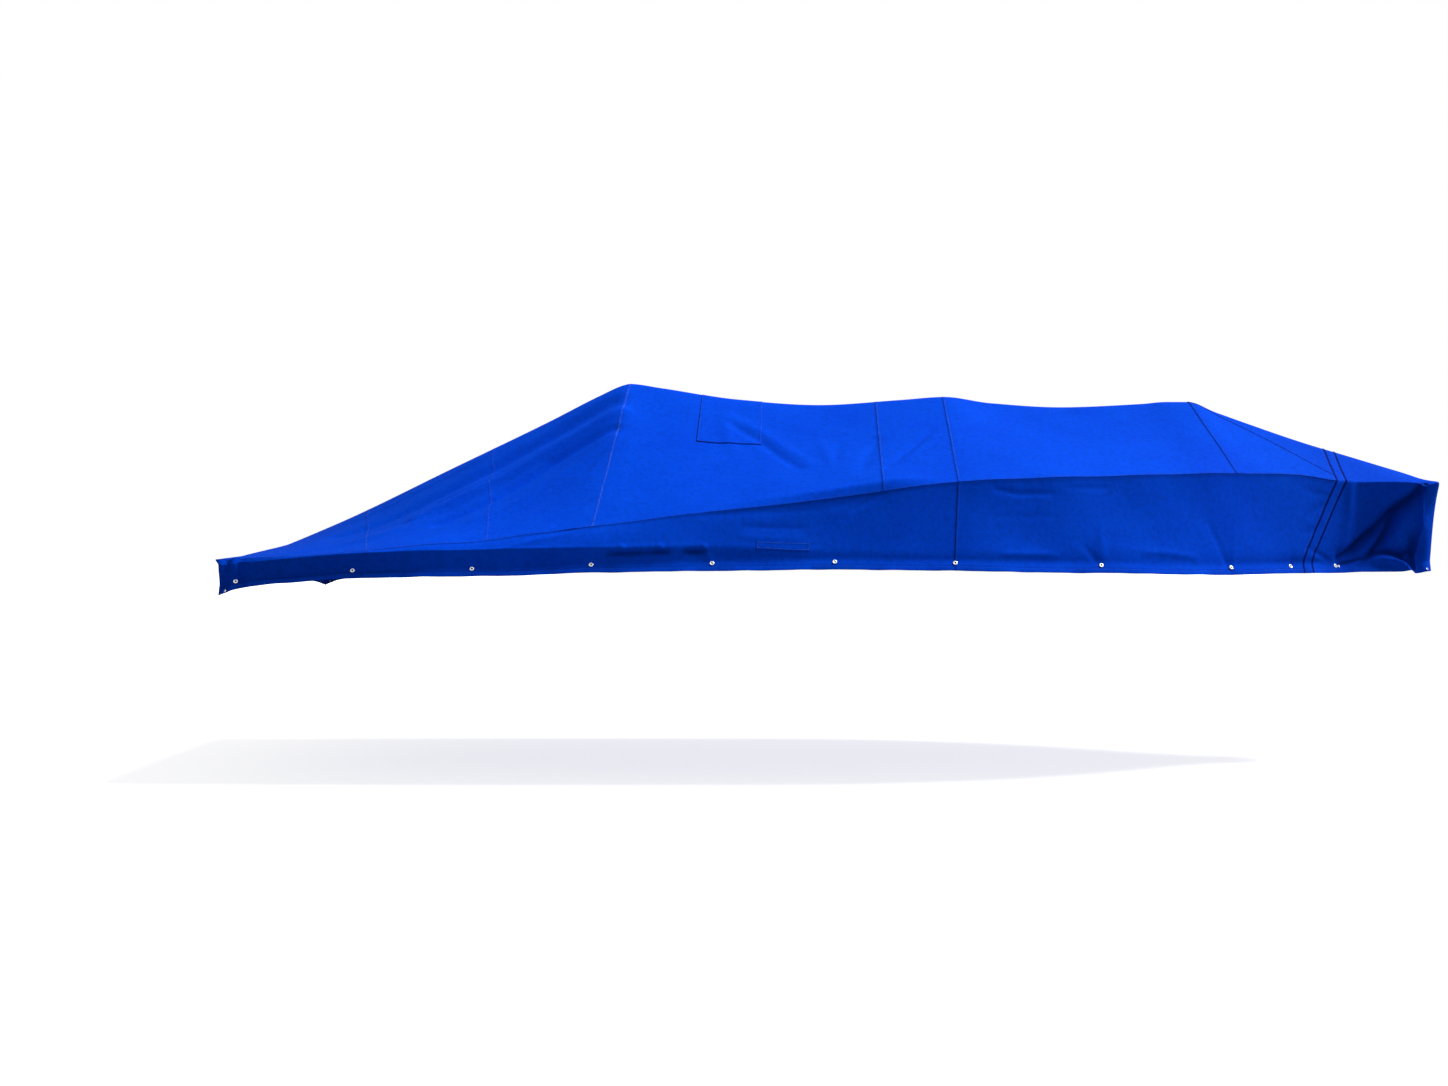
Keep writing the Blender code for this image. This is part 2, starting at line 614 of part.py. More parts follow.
def build_stern_end(skin):
    """A plain valance across the stern, just inside the edges of the top and the two sides."""
    half = (1, 2, 4, 6, 8, SEAM_ROW)
    columns = (*(-row for row in reversed(half)), 0, *half)
    rows = (SEAM_ROW, KNEE_ROW, BAND_TOP_ROW, BAND_BOTTOM_ROW, HEM_ROW)
    inner = {name: skin.points[name] - skin.out[name] * CLOTH for name in skin.points if name[0] == 0}
    end = inner[(0, HEM_ROW)]
    points, faces = {}, []
    for place, column in enumerate(columns):
        head = inner[(0, column)] - Vector((0.0, 0.0, SEAM_GAP))
        side = 1 if column > 0 else -1
        for row in rows:
            edge = inner[(0, side * row)]
            share = (inner[(0, SEAM_ROW)].z - edge.z) / (inner[(0, SEAM_ROW)].z - end.z)
            between = abs(column) < SEAM_ROW
            y = head.y if between else edge.y - side * SEAM_GAP
            hem_z = end.z + (END_RISE * (1 - (y / end.y) ** 4) if between else 0.0)
            points[(place, row)] = Vector((edge.x, y, head.z + share * (hem_z - head.z)))
    for place in range(len(columns) - 1):
        for upper, lower in zip(rows, rows[1:]):
            faces.append(((place, upper), (place + 1, upper), (place + 1, lower), (place, lower)))
    out = dict.fromkeys(points, Vector((-1.0, 0.0, 0.0)))
    material = finish("stern_end", CANVAS)
    return sheet_solid("stern_end", points, out, faces, -CLOTH, 0.0, SEAM_GAP / 2, material)


def build_binding(skin, name, column):
    """A tape over a seam across the cover, from hem to hem."""
    points, out, faces = {}, {}, []
    for row in range(-HEM_ROW, HEM_ROW + 1):
        middle = skin.points[(column, row)]
        for edge in (-1, 1):
            way = (skin.points[(column + edge, row)] - middle).normalized()
            points[(edge, row)] = middle + way * (BINDING_WIDTH / 2)
            out[(edge, row)] = skin.out[(column, row)]
    for row in range(-HEM_ROW, HEM_ROW):
        faces.append(((-1, row), (1, row), (1, row + 1), (-1, row + 1)))
    material = finish(name, TAPE)
    return sheet_solid(name, points, out, faces, BINDING_GAP, BINDING_GAP + BINDING_THICK, 0.0, material)


def build_patch(skin, name, columns, rows):
    """A sewn patch over whole cells of the skin."""
    cells = [(column, row) for column in range(*columns) for row in range(*rows)]
    faces = [((c, r), (c + 1, r), (c + 1, r + 1), (c, r + 1)) for c, r in cells]
    material = finish(name, CANVAS)
    upper = PATCH_GAP + PATCH_THICK
    return sheet_solid(name, skin.points, skin.out, faces, PATCH_GAP, upper, PATCH_INSET, material)


def build_snaps(skin, panels):
    """The snaps of both sides, and their holes through the cloth."""
    for side, tag in ((-1, "stbd"), (1, "port")):
        holes = bmesh.new()
        for number, (frame, size) in enumerate(snap_frames(skin, side), 1):
            name = f"snap_{tag}_{number:02d}"
            body = bmesh.new()
            turned(body, frame, [(radius * size, height) for radius, height in SNAP_OUTLINE])
            snap = add_object(name, body, finish(name, NICKEL))
            snap.data.set_sharp_from_angle(angle=SHARP_ANGLE)
            hole = BARREL_RADIUS * size + SNAP_GAP
            turned(holes, frame, [(hole, HOLE_REACH), (hole, -HOLE_REACH)])
        cutter = add_object("hole_cutter_" + tag, holes)
        for name in ("side_aft_" + tag, "side_fore_" + tag, "nose"):
            cut(panels[name], cutter, "DIFFERENCE")


def build_cover():
    skin = Skin()
    panels = build_panels(skin)
    build_stern_end(skin)
    build_binding(skin, "binding_aft", COLUMN["aft_binding"])
    build_binding(skin, "binding_fore", COLUMN["fore_binding"])
    patch_row = TOP_SHARES.index(PATCH_SHARE)
    upper_columns = (COLUMN["patch_aft"], COLUMN["patch_fore"])
    lower_columns = (COLUMN["patch_fore"], COLUMN["low_patch_fore"])
    build_patch(skin, "patch_upper", upper_columns, (-patch_row, patch_row))
    build_patch(skin, "patch_lower", lower_columns, (-KNEE_ROW, 1 - KNEE_ROW))
    build_snaps(skin, panels)


build_cover()
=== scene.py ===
# %% [markdown]
# # A fitted boat cover, made from its cut panels
#
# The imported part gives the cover's true size and place: canvas panels around a hollow, two bindings,
# two sewn patches and a row of snap fasteners. This script gives each piece its finer form: cloth
# with its tension folds, lapped seams with real stitches, and turned metal fasteners.
# Everything is in metres. +X points to the bow end, +Z up, and -Y is starboard, the side that shows.

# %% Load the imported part
import math
from collections import namedtuple

import bmesh
import bpy
import numpy as np
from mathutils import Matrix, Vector


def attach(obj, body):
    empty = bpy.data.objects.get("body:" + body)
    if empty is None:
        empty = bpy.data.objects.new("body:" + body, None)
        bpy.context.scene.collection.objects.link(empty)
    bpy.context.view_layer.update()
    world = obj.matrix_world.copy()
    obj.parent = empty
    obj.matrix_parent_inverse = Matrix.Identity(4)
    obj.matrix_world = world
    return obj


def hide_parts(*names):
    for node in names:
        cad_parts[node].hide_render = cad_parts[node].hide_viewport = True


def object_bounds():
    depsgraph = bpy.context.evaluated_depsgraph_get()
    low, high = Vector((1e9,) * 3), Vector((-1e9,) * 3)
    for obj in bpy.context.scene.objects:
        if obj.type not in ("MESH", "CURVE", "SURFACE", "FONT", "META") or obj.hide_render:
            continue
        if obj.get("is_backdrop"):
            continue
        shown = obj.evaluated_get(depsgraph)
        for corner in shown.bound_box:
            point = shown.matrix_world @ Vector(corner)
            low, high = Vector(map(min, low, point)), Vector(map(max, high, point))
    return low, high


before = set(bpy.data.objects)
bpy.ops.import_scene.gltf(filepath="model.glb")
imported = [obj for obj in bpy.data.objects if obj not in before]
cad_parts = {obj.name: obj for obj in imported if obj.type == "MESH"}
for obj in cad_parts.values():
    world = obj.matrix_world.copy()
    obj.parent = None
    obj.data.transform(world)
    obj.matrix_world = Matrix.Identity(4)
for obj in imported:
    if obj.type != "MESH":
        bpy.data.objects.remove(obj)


def rounded(values):
    return [round(float(value), 3) for value in values]


CAD_BOX = [list(corner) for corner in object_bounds()]
print("packed nodes:", len(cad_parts), "box:", [rounded(corner) for corner in CAD_BOX])

# %% [markdown]
# ## The camera comes first
#
# The photograph was taken level, from abeam and just above the hem. A lens of 43 mm on a 36 mm wide
# frame gives the same widening of the near parts. The camera looks along +Y, square to the cover.

# %% Camera
PEAK_HEIGHT = 1.080         # top of the aft peak above the hem amidships
CLOTH = 0.002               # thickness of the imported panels
EYE_X, EYE_Y, EYE_HEIGHT = 0.5567, -10.25, 0.138
LENS, FRAME_WIDTH = 43.04, 36.0


def world_z(height):
    """Z of a height above the hem amidships: the origin is on the cloth's underside at the aft peak."""
    return height - PEAK_HEIGHT + CLOTH


def add_object(name, data):
    """An object at the origin, in the scene."""
    thing = bpy.data.objects.new(name, data)
    bpy.context.scene.collection.objects.link(thing)
    return thing


camera = add_object("camera", bpy.data.cameras.new("camera"))
camera.data.lens = LENS
camera.data.sensor_width = FRAME_WIDTH
camera.location = (EYE_X, EYE_Y, world_z(EYE_HEIGHT))
camera.rotation_euler = (math.pi / 2, 0.0, 0.0)
bpy.context.scene.camera = camera
print("camera at", rounded(camera.location))

# %% [markdown]
# ## The cover's lines
#
# A canvas worker measures a cover along a few lines: the ridge, the long seam that parts the top from
# the sides, the knee where the side meets the strip that carries the snaps, and the hem. Between the
# measured places a smooth curve joins the values. A curve that never overshoots its points is the
# right kind here, because a plain spline would add bulges between them.

# %% Lines of the cover


def table(columns, *rows):
    """A table as one array for each named column."""
    return {name: np.array([row[k] for row in rows]) for k, name in enumerate(columns.split())}


RIDGE = table(
    "x height",
    (-2.11, 0.091), (-1.63, 0.298), (-1.07, 0.570), (-0.47, 0.860), (-0.18, 1.008), (-0.03, 1.074),
    (0.00, 1.080), (0.18, 1.056), (0.65, 0.985), (1.12, 0.955), (1.60, 0.985), (1.86, 1.003),
    (2.13, 0.967), (2.55, 0.942), (3.02, 0.961), (3.17, 0.973), (3.30, 0.973), (3.46, 0.914),
    (3.97, 0.736), (4.26, 0.649), (4.44, 0.594), (4.56, 0.557), (4.63, 0.533),
)
LONG_SEAM = table(
    "x half_width height",
    (-2.11, 1.170, 0.050), (-1.36, 1.188, 0.094), (-0.70, 1.170, 0.154), (-0.14, 1.148, 0.223),
    (0.43, 1.134, 0.295), (0.95, 1.118, 0.351), (1.39, 1.100, 0.408), (1.80, 1.075, 0.466),
    (2.24, 1.026, 0.484), (2.58, 0.956, 0.498), (3.09, 0.796, 0.515), (3.40, 0.672, 0.524),
    (3.79, 0.492, 0.523), (4.05, 0.388, 0.496), (4.20, 0.345, 0.490), (4.63, 0.285, 0.485),
)
KNEE = table(
    "x half_width height hollow",
    (-2.11, 1.190, 0.020, -0.004), (-1.46, 1.225, 0.078, -0.006), (-1.03, 1.230, 0.097, -0.007),
    (-0.13, 1.236, 0.112, -0.008), (0.55, 1.221, 0.112, 0.000), (1.00, 1.217, 0.092, 0.003),
    (1.80, 1.203, 0.080, 0.006), (2.55, 1.088, 0.080, 0.008), (3.32, 0.814, 0.070, 0.006),
    (3.80, 0.560, 0.066, 0.008), (4.03, 0.408, 0.066, 0.022), (4.25, 0.285, 0.075, 0.045),
    (4.57, 0.265, 0.063, 0.025),
)
HEM = table(
    "x half_width height",
    (-2.085, 1.203, -0.140), (-2.00, 1.215, -0.106), (-1.85, 1.222, -0.081), (-1.64, 1.230, -0.063),
    (-1.38, 1.238, -0.045), (-0.62, 1.250, -0.034), (-0.09, 1.252, -0.015), (0.43, 1.252, -0.008),
    (1.13, 1.250, 0.000), (1.77, 1.240, -0.008), (2.55, 1.125, -0.020), (3.32, 0.850, -0.035),
    (3.80, 0.578, -0.030), (4.03, 0.428, -0.032), (4.15, 0.362, -0.030), (4.30, 0.325, -0.027),
    (4.57, 0.295, -0.024),
)
BAYS = table(
    "start end hollow",
    (-2.11, 0.0, 0.018), (0.0, 1.86, 0.022), (1.86, 3.24, 0.014), (3.24, 4.70, 0.006),
)


def curve(rows, column, x):
    """A column's values at x, on a smooth curve through the rows that never overshoots them."""
    xs, ys = rows["x"], rows[column]
    steps = np.diff(xs)
    rises = np.diff(ys) / steps
    product = rises[:-1] * rises[1:]
    total = np.where(product > 0, rises[:-1] + rises[1:], 1.0)
    inner = np.where(product > 0, 2 * product / total, 0.0)
    slopes = np.concatenate((rises[:1], inner, rises[-1:]))
    x = np.clip(x, xs[0], xs[-1])
    k = np.clip(np.searchsorted(xs, x, side="right"), 1, len(xs) - 1) - 1
    t = (x - xs[k]) / steps[k]
    bend = ys[k] * (1 + 2 * t) * (1 - t) ** 2 + ys[k + 1] * t * t * (3 - 2 * t)
    lean = slopes[k] * t * (1 - t) ** 2 - slopes[k + 1] * t * t * (1 - t)
    return bend + lean * steps[k]


print("ridge at x = 1:", round(float(curve(RIDGE, "height", 1.0)), 3), "m above the hem")

# %% [markdown]
# ## Where the seams run
#
# Each seam across the cover is a straight cut in its panel, so three places along the cover describe
# it: where it meets the ridge, the long seam and the hem. A bare tuple of three numbers is enough,
# and any line between two seams is a mix of theirs.

# %% Seams across the cover
Seam = namedtuple("Seam", "ridge_x seam_x hem_x")
SEAMS = {
    "stern": Seam(-2.110, -2.110, -2.085),
    "low_join": Seam(-1.557, -1.325, -1.325),
    "high_join": Seam(-0.811, -0.696, -0.696),
    "aft_peak": Seam(0.000, -0.143, -0.143),
    "patch_aft": Seam(0.426, 0.360, 0.360),
    "patch_fore": Seam(0.788, 0.750, 0.718),
    "low_patch_fore": Seam(1.060, 1.020, 1.008),
    "insert_aft": Seam(1.451, 1.398, 1.390),
    "insert_fore": Seam(1.848, 1.800, 1.763),
    "fore_peak": Seam(3.298, 3.395, 3.330),
    "aft_binding": Seam(4.104, 4.052, 3.804),
    "fore_binding": Seam(4.166, 4.112, 3.867),
    "nose_corner": Seam(4.600, 4.630, 4.550),
}
print("seams across the cover:", len(SEAMS))

# %% [markdown]
# ## The smooth cloth
#
# Before any fold, the cloth is one smooth skin. A place on it is a pair: a line across the cover, and
# a row number q that runs 0 at the ridge, 1 at the brow, 2 at the long seam, 3 at the knee, 4 and 5
# at the two edges of the snap strip and 6 at the hem. q is negative on the starboard side, so one
# grid can run from hem to hem. Working on whole arrays with numpy keeps the fine grid quick.

# %% Skin without folds
RIDGE_ROUND = 0.035         # softness of the bend over the ridge
BROW_IN = 0.045             # from the long seam inboard to the brow, the crease above it
BROW_LIP = 0.042            # how far the brow stands proud of the straight slope, at most
LIP_NARROW = 0.018          # how much nearer to the long seam the brow runs there
LIP_START, LIP_TOP, LIP_END = 0.35, 1.39, 1.80
BAND_TOP, BAND_BOTTOM = 0.055, 0.025
BAND_TOP_IN, BAND_BOTTOM_IN = 0.030, 0.012      # how far the snaps draw the strip in behind the hem
SNAP_PITCH = 0.60
KNEE_SHARE = 0.96
HOLLOW_POWER = 0.75
PUFF = ((2.8, 0.0), (3.0, 0.003), (5.0, 0.003), (6.0, 0.009))      # rows, and how far slack stands out
GATHER_ROWS = ((2.8, 0.0), (3.0, 1.0))
STERN_GATHERS = ((-2.025, 0.008), (-1.968, -0.007))
GATHER_WIDTH = 0.025
BROW, LONG, HEM_ROW = 1.0, 2.0, 6.0
# Usual lengths of the six stretches from ridge to hem, for rounding the creases between them.
USUAL_DOWN = np.cumsum((0.0, 1.15, 0.05, 0.40, 0.06, 0.03, 0.026))
ROWS = range(len(USUAL_DOWN))
CREASE_ROUND = 0.009
KNEE_SOFT = ((-0.7, 0.0), (0.5, 0.020))     # further rounding of the knee: none aft, full from x = 0.5 on
KNEE_REACH = 0.05
STERN_SNAP, NOSE_SNAP = -2.050, 4.062       # two small snaps, at the ends of each row
SNAP_PLACES = np.array((
    STERN_SNAP, -1.997, -1.382, -0.757, -0.136, 0.494, 1.134, 1.763, 2.550, 3.317, 3.713, 4.034, NOSE_SNAP,
))


def rows_of(lines, q):
    """The rows q for each of the lines."""
    return np.broadcast_to(q, (len(lines), np.shape(q)[-1]))


def usual_down(q):
    """Signed usual distance from the ridge to a signed row."""
    return np.sign(q) * np.interp(np.abs(q), ROWS, USUAL_DOWN)


def row_at(down):
    """The signed row at a signed usual distance."""
    return np.sign(down) * np.interp(np.abs(down), USUAL_DOWN, ROWS)


def bay_hollow(x):
    """How far the top hollows at x, half-way from ridge to brow."""
    total = np.zeros_like(x)
    for start, end, hollow in zip(BAYS["start"], BAYS["end"], BAYS["hollow"]):
        share = np.clip((x - start) / (end - start), 0.0, 1.0)
        total += hollow * np.sin(math.pi * share)
    return total


def lip(x):
    """From 0 to 1, how much the brow stands proud of the slope above the long seam."""
    half = np.where(x < LIP_TOP, LIP_TOP - LIP_START, LIP_END - LIP_TOP)
    return np.cos(0.5 * math.pi * np.clip((x - LIP_TOP) / half, -1.0, 1.0)) ** 2


def slack(x):
    """0 at a snap and 1 midway between two that stand a full pitch apart, along the hem."""
    k = np.clip(np.searchsorted(SNAP_PLACES, x, side="right"), 1, len(SNAP_PLACES) - 1)
    apart = SNAP_PLACES[k] - SNAP_PLACES[k - 1]
    share = np.clip((x - SNAP_PLACES[k - 1]) / apart, 0.0, 1.0)
    return np.minimum(apart / SNAP_PITCH, 1.0) ** 2 * np.sin(math.pi * share)


def gather(x):
    """Gathers in the last hand's breadth before the stern."""
    return sum(depth * np.exp(-(((x - at) / GATHER_WIDTH) ** 2)) for at, depth in STERN_GATHERS)


def stack(x, y, z):
    return np.stack(np.broadcast_arrays(x, y, z), axis=-1)


def sharp_skin(lines, q):
    """Points at rows q (0 to 6) of the lines (n by 3), with sharp creases, on the port side."""
    ridge_x, seam_x, hem_x = (lines[:, k, None] for k in range(3))
    crest = world_z(curve(RIDGE, "height", ridge_x))
    seam_y = curve(LONG_SEAM, "half_width", seam_x)
    seam_z = world_z(curve(LONG_SEAM, "height", seam_x))
    brow_in = BROW_IN - LIP_NARROW * lip(seam_x)
    brow_y = seam_y - brow_in
    brow_z = seam_z + brow_in * (crest - seam_z) / seam_y + BROW_LIP * lip(seam_x)
    fall = (crest - brow_z) / (np.hypot(brow_y, RIDGE_ROUND) - RIDGE_ROUND)
    share = np.clip(q, 0.0, 1.0)
    y = brow_y * share
    x = ridge_x + (seam_x - ridge_x) * y / seam_y
    z = crest - fall * (np.hypot(y, RIDGE_ROUND) - RIDGE_ROUND) - bay_hollow(x) * np.sin(math.pi * share)
    points = stack(x, y, z)
    seam = stack(seam_x, seam_y, seam_z)
    points += (seam - points) * np.clip(q - BROW, 0.0, 1.0)[..., None]

    knee_x = seam_x + KNEE_SHARE * (hem_x - seam_x)
    knee = stack(knee_x, curve(KNEE, "half_width", knee_x), world_z(curve(KNEE, "height", knee_x)))
    hem_y = curve(HEM, "half_width", hem_x)
    hem_z = world_z(curve(HEM, "height", hem_x))
    stops = (
        knee, stack(hem_x, hem_y - BAND_TOP_IN, hem_z + BAND_TOP),
        stack(hem_x, hem_y - BAND_BOTTOM_IN, hem_z + BAND_BOTTOM), stack(hem_x, hem_y, hem_z),
    )
    for row, stop in enumerate(stops, 2):
        points += (stop - points) * np.clip(q - row, 0.0, 1.0)[..., None]
    side_share = np.clip(q - LONG, 0.0, 1.0)
    points[..., 1] -= curve(KNEE, "hollow", knee_x) * np.sin(math.pi * side_share**HOLLOW_POWER)
    puff = np.interp(q, *zip(*PUFF))
    points[..., 1] += puff * slack(hem_x) + np.interp(q, *zip(*GATHER_ROWS)) * gather(hem_x)
    return points


def smooth_skin(lines, q):
    """Points at signed rows q, with each crease rounded by a mix of the places around it."""
    lines = np.asarray(lines, float)
    q = rows_of(lines, q)
    down = usual_down(np.abs(q))
    at_knee = np.exp(-(((down - USUAL_DOWN[3]) / KNEE_REACH) ** 2))
    reach = CREASE_ROUND + at_knee * np.interp(lines[:, 2], *zip(*KNEE_SOFT))[:, None]
    reach = np.minimum(np.minimum(down, USUAL_DOWN[-1] - down), reach)
    points = 0.5 * sharp_skin(lines, np.abs(q))
    for way in (-1, 1):
        points += 0.25 * sharp_skin(lines, row_at(down + way * reach))
    points[..., 1] *= np.where(q < 0, -1.0, 1.0)
    return points


peak_places = smooth_skin([SEAMS["aft_peak"]], [0.0, LONG, HEM_ROW])[0]
print("aft peak seam at ridge, long seam and hem:", peak_places.round(3).tolist())

# %% [markdown]
# ## Tension folds
#
# Canvas that is pulled tight doesn't wrinkle at random. Folds fan out from the places that carry the
# load: the peak, the corners of the patch, the snaps and the two ends. Each row below is one fold: its
# form, how wide and how deep it is, and the places on its route (x, and the distance down the cloth
# from the ridge). A roll is a soft wave, and a crease is sharp in the middle. A hollow and a crevice
# are the same two forms, deep ones, along which shade is painted into the cloth's colour.

# %% Folds
STBD, PORT, BOTH = -1, 1, 0
Fold = namedtuple("Fold", "form width depth route")


def shaped(form):
    """A function that takes a fold's width, its depth and the places on its route."""
    return lambda width, depth, *route: Fold(form, width, depth, route)


roll, crease, hollow, crevice = map(shaped, ("roll", "crease", "hollow", "crevice"))
STARBOARD_FOLDS = (
    # fans from the aft peak down the aft slope
    roll(0.055, 0.034, (-0.04, 0.34), (-0.38, 0.43), (-0.75, 0.55), (-1.15, 0.70)),
    roll(0.038, -0.03, (-0.07, 0.50), (-0.42, 0.58), (-0.72, 0.74), (-1.00, 0.88)),
    crease(0.014, -0.005, (-0.06, 0.46), (-0.42, 0.55), (-0.66, 0.68)),
    roll(0.045, 0.01, (-0.08, 0.60), (-0.27, 0.74), (-0.52, 0.88), (-0.80, 0.98)),
    roll(0.02, -0.006, (-0.11, 0.72), (-0.23, 0.88)),
    roll(0.02, -0.006, (-0.15, 1.19), (-0.24, 1.26), (-0.34, 1.31)),
    roll(0.06, -0.026, (-0.10, 0.20), (-0.64, 0.28), (-1.20, 0.42), (-1.60, 0.55)),
    roll(0.03, 0.006, (-0.90, 0.10), (-1.25, 0.13), (-1.60, 0.20)),
    roll(0.08, 0.014, (-1.10, 0.80), (-1.50, 0.93), (-1.80, 1.02)),
    roll(0.035, 0.004, (-0.02, 0.10), (-0.30, 0.12), (-0.60, 0.16)),
    roll(0.06, -0.006, (-0.30, 0.95), (-0.80, 1.12)),
    # gathers where the cloth is drawn round the stern corner
    roll(0.013, 0.013, (-2.08, 1.19), (-2.075, 1.36)),
    roll(0.012, -0.013, (-2.045, 1.17), (-2.04, 1.36)),
    roll(0.014, 0.009, (-2.01, 1.17), (-2.00, 1.30)),
    roll(0.016, -0.006, (-1.965, 1.18), (-1.96, 1.30)),
    # low folds along the valance near the stern
    roll(0.022, 0.004, (-1.90, 1.20), (-1.60, 1.24), (-1.26, 1.28)),
    roll(0.018, -0.003, (-1.75, 1.26), (-1.35, 1.33), (-1.05, 1.38)),
    # round and from the corner of the upper patch
    roll(0.045, 0.007, (0.585, 0.12), (0.56, 0.28), (0.57, 0.45), (0.61, 0.64)),
    roll(0.045, 0.008, (0.61, 0.26), (0.78, 0.42), (1.03, 0.83)),
    roll(0.032, -0.009, (0.60, 0.33), (0.75, 0.49), (0.96, 0.86)),
    crease(0.012, -0.003, (0.66, 0.31), (0.80, 0.48), (0.97, 0.76)),
    roll(0.03, 0.004, (1.10, 0.52), (1.15, 0.87)),
    roll(0.026, -0.004, (1.21, 0.54), (1.16, 0.88)),
    roll(0.022, -0.004, (1.40, 0.56), (1.24, 0.74)),
    roll(0.04, -0.009, (1.42, 0.58), (1.35, 0.79), (1.30, 1.00)),
    # across the insert
    roll(0.026, -0.009, (1.73, 0.53), (1.52, 0.86), (1.44, 0.99)),
    roll(0.026, 0.007, (1.74, 0.60), (1.56, 0.88)),
    crease(0.008, -0.002, (1.46, 0.965), (1.58, 0.98), (1.72, 1.01)),
    # along the brow and just under the long seam
    roll(0.024, -0.003, (0.46, 1.358), (0.70, 1.33), (0.98, 1.322), (1.40, 1.285)),
    crease(0.014, -0.005, (1.24, 1.34), (1.31, 1.30), (1.37, 1.26)),
    roll(0.012, -0.006, (1.99, 1.222), (2.11, 1.232), (2.30, 1.205)),
    roll(0.012, -0.003, (2.40, 1.16), (2.62, 1.115)),
    # sides: pulls above the snaps
    hollow(0.015, -0.01, (-0.05, 1.614), (0.06, 1.606), (0.16, 1.59)),
    hollow(0.015, -0.01, (0.17, 1.59), (0.27, 1.578)),
    hollow(0.017, -0.011, (0.35, 1.572), (0.46, 1.562)),
    roll(0.012, 0.008, (0.45, 1.53), (0.463, 1.565), (0.488, 1.60)),
    roll(0.012, 0.007, (0.019, 1.562), (0.03, 1.59)),
    roll(0.012, 0.007, (0.222, 1.548), (0.232, 1.575)),
    roll(0.02, 0.004, (-0.62, 1.42), (-0.44, 1.41), (-0.24, 1.43)),
    roll(0.018, -0.003, (0.66, 1.415), (0.98, 1.425)),
    roll(0.022, 0.003, (0.66, 1.475), (0.98, 1.49)),
    crease(0.012, -0.002, (1.96, 1.38), (2.32, 1.33)),
    crease(0.016, -0.007, (2.46, 1.47), (2.54, 1.55)),
    roll(0.025, 0.004, (2.56, 1.34), (2.56, 1.54)),
    crease(0.016, -0.007, (3.20, 1.16), (3.26, 1.25), (3.31, 1.34)),
    crease(0.014, 0.004, (3.35, 1.10), (3.33, 1.34)),
    roll(0.014, -0.003, (3.72, 0.98), (3.71, 1.08)),
    roll(0.018, 0.005, (2.02, 1.58), (2.30, 1.545)),
    roll(0.018, 0.005, (2.80, 1.43), (3.10, 1.385)),
    # short pulls just aft of the aft binding, and the hollow at its foot
    roll(0.014, -0.005, (3.83, 0.905), (3.91, 0.893), (3.98, 0.89)),
    roll(0.014, -0.003, (3.86, 0.60), (3.99, 0.55)),
    roll(0.018, -0.004, (3.97, 0.60), (3.85, 0.73)),
    roll(0.014, -0.004, (3.93, 0.74), (3.82, 0.84)),
    # the nose: two long pulls from its upper front corner, the hem's flare and the corner's upright fold
    roll(0.036, -0.028, (4.61, 0.29), (4.544, 0.40), (4.434, 0.503), (4.31, 0.64), (4.182, 0.775),
        (4.085, 0.85)),
    crevice(0.032, -0.024, (4.61, 0.29), (4.544, 0.386), (4.434, 0.488), (4.375, 0.549)),
    crevice(0.021, -0.024, (4.434, 0.49), (4.31, 0.623), (4.182, 0.758), (4.06, 0.855)),
    roll(0.026, -0.018, (4.427, 0.52), (4.393, 0.604), (4.345, 0.69), (4.293, 0.772), (4.22, 0.845)),
    crevice(0.019, -0.017, (4.427, 0.514), (4.393, 0.594), (4.345, 0.68), (4.293, 0.762),
        (4.22, 0.84)),
    roll(0.018, 0.014, (4.385, 0.569), (4.35, 0.64), (4.28, 0.712), (4.20, 0.79)),
    roll(0.03, 0.012, (4.14, 0.42), (4.132, 0.60), (4.09, 0.78)),
    roll(0.04, 0.014, (4.47, 0.52), (4.45, 0.60), (4.41, 0.69)),
    roll(0.022, 0.034, (4.215, 0.85), (4.262, 0.815), (4.332, 0.79), (4.413, 0.782), (4.462, 0.79),
        (4.51, 0.825)),
    hollow(0.02, -0.02, (4.30, 0.76), (4.36, 0.738), (4.43, 0.735), (4.49, 0.76), (4.54, 0.81)),
    hollow(0.036, -0.03, (4.545, 0.615), (4.53, 0.69), (4.535, 0.77), (4.552, 0.81)),
    hollow(0.03, -0.02, (4.53, 0.69), (4.48, 0.725), (4.43, 0.732)),
    roll(0.01, 0.022, (4.592, 0.36), (4.583, 0.58), (4.575, 0.80)),
    roll(0.008, 0.007, (4.575, 0.60), (4.568, 0.72), (4.572, 0.81)),
    crevice(0.01, -0.01, (4.061, 0.882), (4.164, 0.838), (4.262, 0.795)),
)
